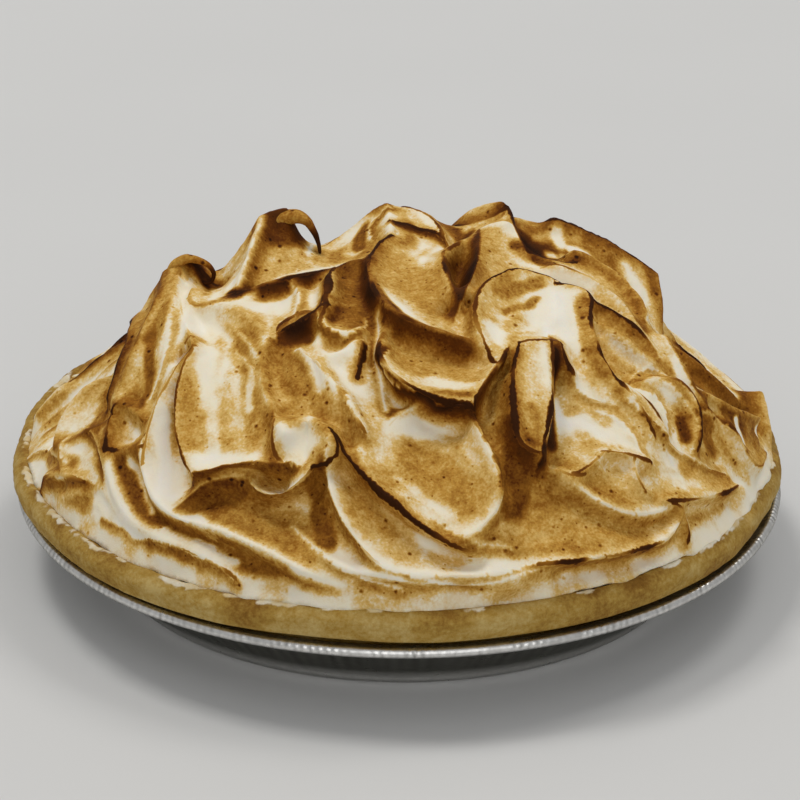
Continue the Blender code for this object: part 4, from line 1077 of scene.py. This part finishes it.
TOAST_COLOURS = (
    (0.00, (0.84, 0.805, 0.72)),
    (0.15, (0.82, 0.74, 0.56)),
    (0.29, (0.69, 0.46, 0.150)),
    (0.43, (0.50, 0.27, 0.048)),
    (0.58, (0.29, 0.115, 0.011)),
    (0.78, (0.115, 0.031, 0.002)),
    (1.00, (0.022, 0.006, 0.001)),
)
CRUST_COLOURS = (
    (0.00, (0.50, 0.36, 0.13)),
    (0.35, (0.37, 0.225, 0.045)),
    (0.65, (0.23, 0.112, 0.016)),
    (1.00, (0.11, 0.040, 0.005)),
)
FILM_COLOURS = ((0.35, (0.70, 0.65, 0.53)), (0.65, (0.60, 0.47, 0.25)))


def toasted_meringue():
    """Egg-white foam, toasted in blotches and speckles, with near-black lines along its thin edges and a few
    marks of painted shade.
    """
    nodes = Nodes("toasted meringue")
    toast = nodes.attribute("toast")
    shown = nodes.times(nodes.spread(toast, 0.08, 0.32), nodes.spread(toast, 1.0, 0.7))
    level = toast
    for size, detail, share in ((5.0, 3.0, 0.27), (2.1, 3.0, 0.30), (0.8, 1.0, 0.26)):
        mottle = nodes.maths("SUBTRACT", nodes.noise(size, detail, 0.55), 0.5)
        level = nodes.times(nodes.times(mottle, shown), share, level)
    for spacing, widest, share in ((3.4, 0.38, 0.40), (1.9, 0.36, 0.24)):
        distance, chance = nodes.cells(spacing)
        distance = nodes.times(nodes.noise(0.9, 1.0), 0.16, distance)
        size = nodes.spread(chance, 0.3, 1.0, 0.05, widest)
        dots = nodes.spread(distance, size, nodes.times(size, 0.3))
        dots = nodes.times(dots, nodes.spread(toast, 0.10, 0.34))
        level = nodes.times(dots, share, level)
    # a crest's burnt line is widest where it is blackest, and frays
    burnt = nodes.attribute("burnt")
    fray = nodes.times(nodes.noise(4.5, 4.0, 0.6), 2.0, -0.15)
    width = nodes.times(nodes.times(burnt, 1.3, 0.2), fray)
    line = nodes.spread(nodes.attribute("apart"), width, nodes.times(width, 0.35))
    line = nodes.times(line, nodes.spread(burnt, 0.05, 0.9))
    level = nodes.maths("MAXIMUM", level, nodes.times(line, 0.97))
    nodes.set(Base_Color=nodes.ramp(level, TOAST_COLOURS), Roughness=0.75, Specular_IOR_Level=0.07)
    nodes.set(Subsurface_Weight=0.15, Subsurface_Radius=(1.0, 0.62, 0.35), Subsurface_Scale=0.0014)
    nodes.bump(nodes.blend(nodes.noise(0.4, 1.0), 0.4, nodes.noise(1.8, 3.0)), 0.25)
    return nodes.material


def shortcrust():
    """Pale baked pastry with darker mottling, a fine crumb and a film of meringue here and there."""
    nodes = Nodes("baked shortcrust")
    crumb = nodes.noise(1.3, 3.0, 0.65)
    level = nodes.around(nodes.noise(9.0, 4.0, 0.6, (1, 1, 0.6)), 1.1, nodes.attribute("browned"))
    colour = nodes.ramp(nodes.around(crumb, 0.75, level), CRUST_COLOURS)
    film = nodes.around(nodes.noise(1.8, 3.0), 0.6, nodes.attribute("film"))
    toned = nodes.ramp(nodes.noise(5.0, 2.0), FILM_COLOURS)
    colour = nodes.mix(nodes.spread(film, 0.18, 0.62), colour, toned)
    nodes.set(Base_Color=colour, Roughness=nodes.spread(crumb, 0.2, 0.8, 0.7, 0.85), Specular_IOR_Level=0.12)
    nodes.set(Subsurface_Weight=0.08, Subsurface_Radius=(1.0, 0.6, 0.3), Subsurface_Scale=0.0015)
    nodes.bump(nodes.blend(crumb, 0.6, nodes.noise(0.5, 2.0)), 0.45)
    return nodes.material


def foil():
    """Pressed aluminium foil with faint rolling lines and scuffs, painted shade in its grooves and pleats,
    and a wall painted dark as the shadow it reflects.
    """
    nodes = Nodes("pressed foil")
    groove_shade = nodes.attribute("groove_shade")
    scuff = nodes.noise(5.0, 4.0, 0.6)
    lines = nodes.noise(1.6, 2.0, 0.5, (1, 1, 14))
    colour = nodes.mix(nodes.spread(scuff, 0.3, 0.75), (0.84, 0.83, 0.81), (0.70, 0.69, 0.67))
    # painted shade: the rim's knurl grooves are darker
    shade = nodes.times(groove_shade, nodes.spread(nodes.noise(2.0, 2.0), 0.3, 0.7, 0.3, 1.0))
    colour = nodes.mix(shade, colour, (0.36, 0.355, 0.34))
    # the wall is painted dark as the shadow under the pie that it reflects, with painted shade along its
    # pleats
    pleats = nodes.mix(groove_shade, (0.15, 0.147, 0.135), (0.36, 0.352, 0.33))
    colour = nodes.mix(nodes.attribute("wall"), colour, pleats)
    nodes.set(Base_Color=colour, Roughness=nodes.spread(scuff, 0.25, 0.8, 0.26, 0.42), Metallic=1.0,
              Specular_Tint=(0.45, 0.45, 0.43, 1.0))
    nodes.bump(nodes.blend(lines, 0.6, scuff), 0.12)
    return nodes.material


def pale_floor():
    """Plain pale studio floor with the faintest mottling."""
    nodes = Nodes("pale floor")
    cloud = nodes.noise(240.0, 2.0)
    colour = nodes.mix(cloud, (0.60, 0.60, 0.595), (0.64, 0.64, 0.635))
    nodes.set(Base_Color=colour, Roughness=0.8)
    return nodes.material


# Pieces

def meringue(material):
    """The folded dome, closed underneath."""
    plan, faces, crest_height = plan_mesh(FOLDS)
    axis, lift = sagging_surface(FOLDS)
    streaks = read_grid(axis, blur(drag_lines(FOLDS, axis), 1), plan)
    reach = np.hypot(plan[:, 0], plan[:, 1])
    height = read_grid(axis, lift, plan)
    crest = ~np.isnan(crest_height)
    height[crest] += CREST_HOLD * (crest_height[crest] - height[crest])
    top = ease((LIP_REACH - reach) / LIP_CALM)
    height = np.where(reach > LIP_REACH - 0.01, 0.0, height)
    points = on_dome(plan + lean(FOLDS, plan), height)
    points = soften(points, faces, SOFTENING * top, 2)
    relief = DRAG_RISE * streaks + crease_lift(CREASES, plan)
    relief += noises(points, (LUMP_RISE, LUMP_SIZE, 21), (PIMPLE_RISE, PIMPLE_SIZE, 22))
    points += corner_normals(points, faces) * (relief * top)[:, None]
    # the lip droops onto the crust here and there
    rim_point = plan / np.maximum(reach, 1e-6)[:, None] * LIP_RADIUS
    wave = noises(rim_point, (1, 15.0, 23), (0.5, 6.0, 24))
    push = noises(rim_point, (1, 10.0, 25), (0.5, 4.0, 26))
    band = ease(1 - np.abs(reach - LIP_REACH) / LIP_BAND)
    points[:, 2] -= LIP_DROOP * (1.0 + 0.7 * wave) * band
    points[:, :2] += rim_point / LIP_RADIUS * (LIP_PUSH * push * band)[:, None]
    toast, burnt, apart = toast_levels(FOLDS, CREASES, TOAST, plan, streaks)
    rim = edge_loop(faces)
    centre = len(points)
    points = np.vstack([points, [0.0, 0.0, SEAT_HEIGHT]])
    closing = [(b, a, centre) for a, b in zip(rim, rim[1:] + rim[:1])]
    values = {"toast": np.append(toast, 0.0), "burnt": np.append(burnt, 0.0),
              "apart": np.append(apart, LINE_REACH)}
    piece = new_piece("meringue_folds", points, faces.tolist() + closing, material, values)
    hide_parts("meringue")


def curled_tips(material):
    """Thin hooks of meringue that curl off the hood and the left peak."""
    points = np.zeros((0, 3))
    faces = []
    shares = []
    turn = np.linspace(0, 2 * math.pi, TIP_SPOKES, endpoint=False)[:, None, None]
    for corners in (HOOD_TIP, PEAK_TIP):
        line = rounded(corners, 0.5)
        middle = line[:, :3]
        along = np.linspace(0, 1, len(line))
        heading = np.gradient(middle, axis=0)
        heading /= np.linalg.norm(heading, axis=1)[:, None]
        across = np.cross(heading, (0, 1, 0))
        across /= np.linalg.norm(across, axis=1)[:, None]
        deep = np.cross(heading, across) * TIP_DEPTH
        # the radius closes like a rounded end over the last steps
        radius = line[:, 3] * np.sqrt(1 - np.clip((along - TIP_ROUND) / (1 - TIP_ROUND), 0, 0.98) ** 2)
        body = middle + (across * np.cos(turn) + deep * np.sin(turn)) * radius[:, None]
        for face in turned_faces(TIP_SPOKES, len(line)):
            faces.append(tuple(corner + len(points) for corner in face))
        points = np.vstack([points, middle[:1], body.reshape(-1, 3), middle[-1:]])
        shares.append(np.concatenate([[0], np.tile(along, TIP_SPOKES), [1]]))
    points += TIP_LUMPS * np.column_stack([soft_noise(points, 2.5, 61 + k) for k in range(3)])
    share = np.concatenate(shares)
    values = {"toast": 0.42 + 0.5 * share ** 2, "burnt": np.clip(2.4 * share - 1.0, 0, 1),
              "apart": np.full(len(points), 0.3)}
    piece = new_piece("meringue_tips", points, faces, material, values)


def smeared(angle, section):
    """How thickly meringue is smeared on the crust, for each bearing and each point of its outline."""
    walk = np.concatenate([[0], np.cumsum(np.hypot(*np.diff(section, axis=0).T))])
    around, along = np.meshgrid(angle * CRUST_BELLY[0], walk, indexing="ij")
    wobble = noises(np.column_stack([around.ravel(), along.ravel()]), (0.55, 2.6, 51), (0.3, 1.3, 52))
    wobble = wobble.reshape(around.shape)
    thick = np.zeros(around.shape)
    for bearing, length, width, share in SMEARS:
        turn = (angle - math.radians(bearing) + math.pi) % (2 * math.pi) - math.pi
        off = np.hypot((turn * CRUST_BELLY[0] * 2 / length)[:, None], (walk - share * walk[-1]) * 2 / width)
        thick = np.maximum(thick, np.clip(1.3 - off - wobble, 0, 1))
    return thick


def crust_section():
    """The crust's visible outline from its foot over the crest to the floor."""
    foot, belly, crest, floor = (np.array(p) for p in (CRUST_FOOT, CRUST_BELLY, CRUST_CREST, CRUST_FLOOR))
    return rounded([foot, belly + (-1.4, -3.5), belly, belly + (-0.7, 3.0), crest, crest + (-2.6, -1.2),
                    (crest[0] - 5.8, floor[1] + 3.0), floor], 0.9)


def crust(material):
    """Pastry that fills the tin and stands above it as an uneven rounded rim."""
    low, high = (radius - TIN_SHEET - GAP - 0.1 for radius in (TIN_BASE_RADIUS, WALL_TOP_RADIUS))
    floor = TIN_SHEET + GAP
    inside = np.array([(low - 3.0, floor), (low - 0.9, floor + 0.7), (low, 2.8), (high, WALL_TOP + 0.6),
                       (high + 0.5, CRUST_FOOT[1] - 0.9)])
    section = crust_section()
    rows = np.vstack([inside, section])
    hidden = np.zeros(len(inside))
    angle = np.linspace(0, 2 * math.pi, CRUST_SIDES, endpoint=False)
    wave, swell = (sum(size * turn(count * angle + phase) for count, size, phase in CRUST_WAVES)
                   for turn in (np.sin, np.cos))
    # the outside of the rim wanders, and the share fades toward the hidden floor
    share = np.concatenate([hidden, ease((section[:, 0] - CRUST_FLOOR[0]) / 6)])
    lifted = np.concatenate([hidden, ease((section[:, 1] - CRUST_FOOT[1]) / 4)])
    slack = np.maximum(0, np.cos(angle - math.radians(SLACK_BEARING)))
    in_tin = np.arange(len(rows)) < len(inside)
    shift = share * BELLY_SHIFT
    shift[len(inside)] = FOOT_SHIFT
    give = in_tin * SLACK_WIDTH * rows[:, 1] / WALL_TOP
    radius = rows[:, 0] + np.outer(wave, share) - np.outer(slack, give)
    height = rows[:, 1] + np.outer(swell, share * lifted * CRUST_SWELL_SHARE)
    points = turned_points(angle, radius, height, floor, CRUST_FLOOR[1], shift)
    outward = points * (1, 1, 0)
    outward /= np.maximum(np.linalg.norm(outward, axis=1), 1e-6)[:, None]
    shown = with_ends(np.tile(share * lifted, CRUST_SIDES))
    relief = noises(points, (0.42, 6.0, 31), (0.30, 2.4, 32), (0.12, 1.2, 33))
    points += outward * ((relief - CRUST_SINK) * shown)[:, None]
    points[:, 2] += 0.3 * soft_noise(points, 4.0, 34) * shown
    film = with_ends(np.pad(smeared(angle, section), ((0, 0), (len(inside), 0))))
    points += (outward * 0.3 + (0, 0, 0.4)) * ease(film)[:, None]
    browned = 0.30 + 0.22 * soft_noise(points, 14.0, 35) + 0.15 * ease((points[:, 2] - 34) / 4)
    piece = new_piece("crust_rim", points, turned_faces(CRUST_SIDES, len(rows)), material,
                      {"browned": browned, "film": film})
    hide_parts("pastry_crust")


def tin(material):
    """Foil tin with a creased wall and a knurled rolled rim."""
    roll_centre = np.array([TIN_RADIUS - ROLL_RADIUS, TIN_TOP - ROLL_RADIUS])
    turn = np.radians(np.linspace(-130, 130, 17))
    roll = roll_centre + ROLL_RADIUS * np.column_stack([np.cos(turn), np.sin(turn)])
    base = TIN_BASE_RADIUS
    flare = WALL_TOP_RADIUS - base
    bottom = [(base - inset, lift) for inset, lift in TIN_RINGS]
    wall = [(base + flare * s, 2.2 + (WALL_TOP - 2.2) * s) for s in np.linspace(0, 1, 12)]
    outside = bottom + wall
    outside += [(WALL_TOP_RADIUS + 0.6, WALL_TOP + 0.6), (WALL_TOP_RADIUS + 1.6, WALL_TOP + 0.8)]
    inside = [(WALL_TOP_RADIUS + 1.8, WALL_TOP + 2.0), (WALL_TOP_RADIUS + 0.6, WALL_TOP + 1.86),
              (WALL_TOP_RADIUS - TIN_SHEET, WALL_TOP + 0.5)]
    inside += [(base - TIN_SHEET + flare * s, 2.6 + (WALL_TOP - 2.1) * s) for s in (0.85, 0.6, 0.3, 0.0)]
    inside += [(base - 1.6, 1.3), (base - 3.4, TIN_SHEET)]
    rows = np.vstack([outside, roll, inside])
    angle = np.linspace(0, 2 * math.pi, TIN_SIDES, endpoint=False)
    circle = np.column_stack([np.cos(angle), np.sin(angle)]) * TIN_RADIUS
    up_wall = np.clip((rows[:, 1] - 3.0) / (WALL_TOP - 3.0), 0, 1) * (np.arange(len(rows)) < len(outside))
    on_rim = (rows[:, 0] > WALL_TOP_RADIUS + 0.5).astype(float)
    on_top = on_rim * (rows[:, 1] > roll_centre[1])
    pleats = np.sin(PLEAT_COUNT * angle + 1.5 * soft_noise(circle, 18.0, 41))
    pleats = pleats * (0.6 + 0.5 * soft_noise(circle, 9.0, 42)) + 0.6 * soft_noise(circle, 2.2, 43)
    knurls = np.sin(KNURL_COUNT * angle + 2.5 * soft_noise(circle, 25.0, 44))
    knurls *= np.clip(0.6 + 0.9 * soft_noise(circle, 5.0, 45), 0.05, 1.2)
    dents = noises(circle, (1, 14.0, 46), (0.5, 5.0, 47))
    radius = rows[:, 0] - np.outer(PLEAT_DEPTH * (pleats + 1.5), up_wall ** 1.5)
    radius -= np.outer(DENT_DEPTH * (dents + 1.5) + KNURL_DEPTH * (knurls + 1), on_rim)
    height = rows[:, 1] - np.outer(KNURL_DROP * (knurls + 1), on_top)
    height -= np.outer(DENT_DROP * (dents + 1.5), on_rim)
    # painted shade: darker in the rim's knurl grooves and on one side of each wall pleat
    groove_shade = np.outer(0.5 - 0.5 * knurls, on_rim) + np.outer(np.clip(0.4 + 0.4 * pleats, 0, 1), up_wall)
    # where the wall is painted dark, as the shadow under the pie that it reflects
    painted_wall_shade = np.clip(up_wall * 4, 0, 1) * (1 - on_rim)
    piece = new_piece("foil_tin_pressed", turned_points(angle, radius, height, 0.0, TIN_SHEET),
                      turned_faces(TIN_SIDES, len(rows)), material,
                      {"wall": with_ends(np.tile(painted_wall_shade, TIN_SIDES)), "groove_shade": with_ends(groove_shade)})
    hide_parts("foil_tin")


# Studio

CAMERA_DISTANCE = 0.9
CAMERA_ELEVATION = math.radians(25.5)
CAMERA_ROLL = math.radians(-0.55)
FOCAL_PIXELS = 2795.0
PHOTO_WIDTH = 800
AXIS_ROW = 474.5
LOOK_HEIGHT = 0.0235


def camera():
    """The photograph's view, with a tilt that puts the pie low in the frame."""
    lens = bpy.data.cameras.new("camera")
    lens.sensor_width = 36
    lens.lens = FOCAL_PIXELS * lens.sensor_width / PHOTO_WIDTH
    back = np.array([0, -math.cos(CAMERA_ELEVATION), math.sin(CAMERA_ELEVATION)])
    up = np.array([0, math.sin(CAMERA_ELEVATION), math.cos(CAMERA_ELEVATION)])
    right = np.cross(up, back)
    tilt = math.atan((AXIS_ROW - PHOTO_WIDTH / 2) / FOCAL_PIXELS)
    tilted_back = back * math.cos(tilt) - up * math.sin(tilt)
    tilted_up = up * math.cos(tilt) + back * math.sin(tilt)
    rolled_right = math.cos(CAMERA_ROLL) * right - math.sin(CAMERA_ROLL) * tilted_up
    rolled_up = math.sin(CAMERA_ROLL) * right + math.cos(CAMERA_ROLL) * tilted_up
    place = np.array([0, 0, LOOK_HEIGHT]) + back * CAMERA_DISTANCE
    matrix = np.eye(4)
    matrix[:3] = np.column_stack([rolled_right, rolled_up, tilted_back, place])
    eye = bpy.data.objects.new("camera", lens)
    bpy.context.scene.collection.objects.link(eye)
    eye.matrix_world = Matrix(matrix.tolist())
    bpy.context.scene.camera = eye


def soft_light(name, place, aim, size, power, tint=(1, 1, 1)):
    """A square lamp that points at a place."""
    lamp = bpy.data.lights.new(name, "AREA")
    lamp.size = size
    lamp.energy = power
    lamp.color = tint
    thing = bpy.data.objects.new(name, lamp)
    bpy.context.scene.collection.objects.link(thing)
    thing.location = place
    thing.rotation_euler = (Vector(aim) - Vector(place)).to_track_quat("-Z", "Y").to_euler()


def studio():
    """Pale floor, an even sky, two soft lights overhead and a soft fill in front."""
    half = 4.0
    mesh = bpy.data.meshes.new("floor")
    corners = [(-half, -half, 0), (half, -half, 0), (half, half, 0), (-half, half, 0)]
    mesh.from_pydata(corners, [], [(0, 1, 2, 3)])
    mesh.materials.append(pale_floor())
    floor = bpy.data.objects.new("floor", mesh)
    bpy.context.scene.collection.objects.link(floor)
    sky = bpy.data.worlds.new("sky")
    sky.use_nodes = True
    glow = sky.node_tree.nodes["Background"].inputs
    glow["Color"].default_value = (1.0, 1.0, 0.995, 1.0)
    glow["Strength"].default_value = 0.45
    bpy.context.scene.world = sky
    middle = (0, 0, 0.04)
    warm = (1.0, 0.985, 0.955)
    soft_light("ceiling left", (-1.2, 0.7, 3.8), middle, 1.0, 49.0, warm)
    soft_light("ceiling right", (1.4, 1.1, 3.7), middle, 1.2, 28.0, warm)
    soft_light("front fill", (0.5, -3.2, 1.9), middle, 3.0, 27.0)
    bpy.context.scene.view_settings.view_transform = "Standard"


white = toasted_meringue()
meringue(white)
curled_tips(white)
crust(shortcrust())
tin(foil())
camera()
studio()
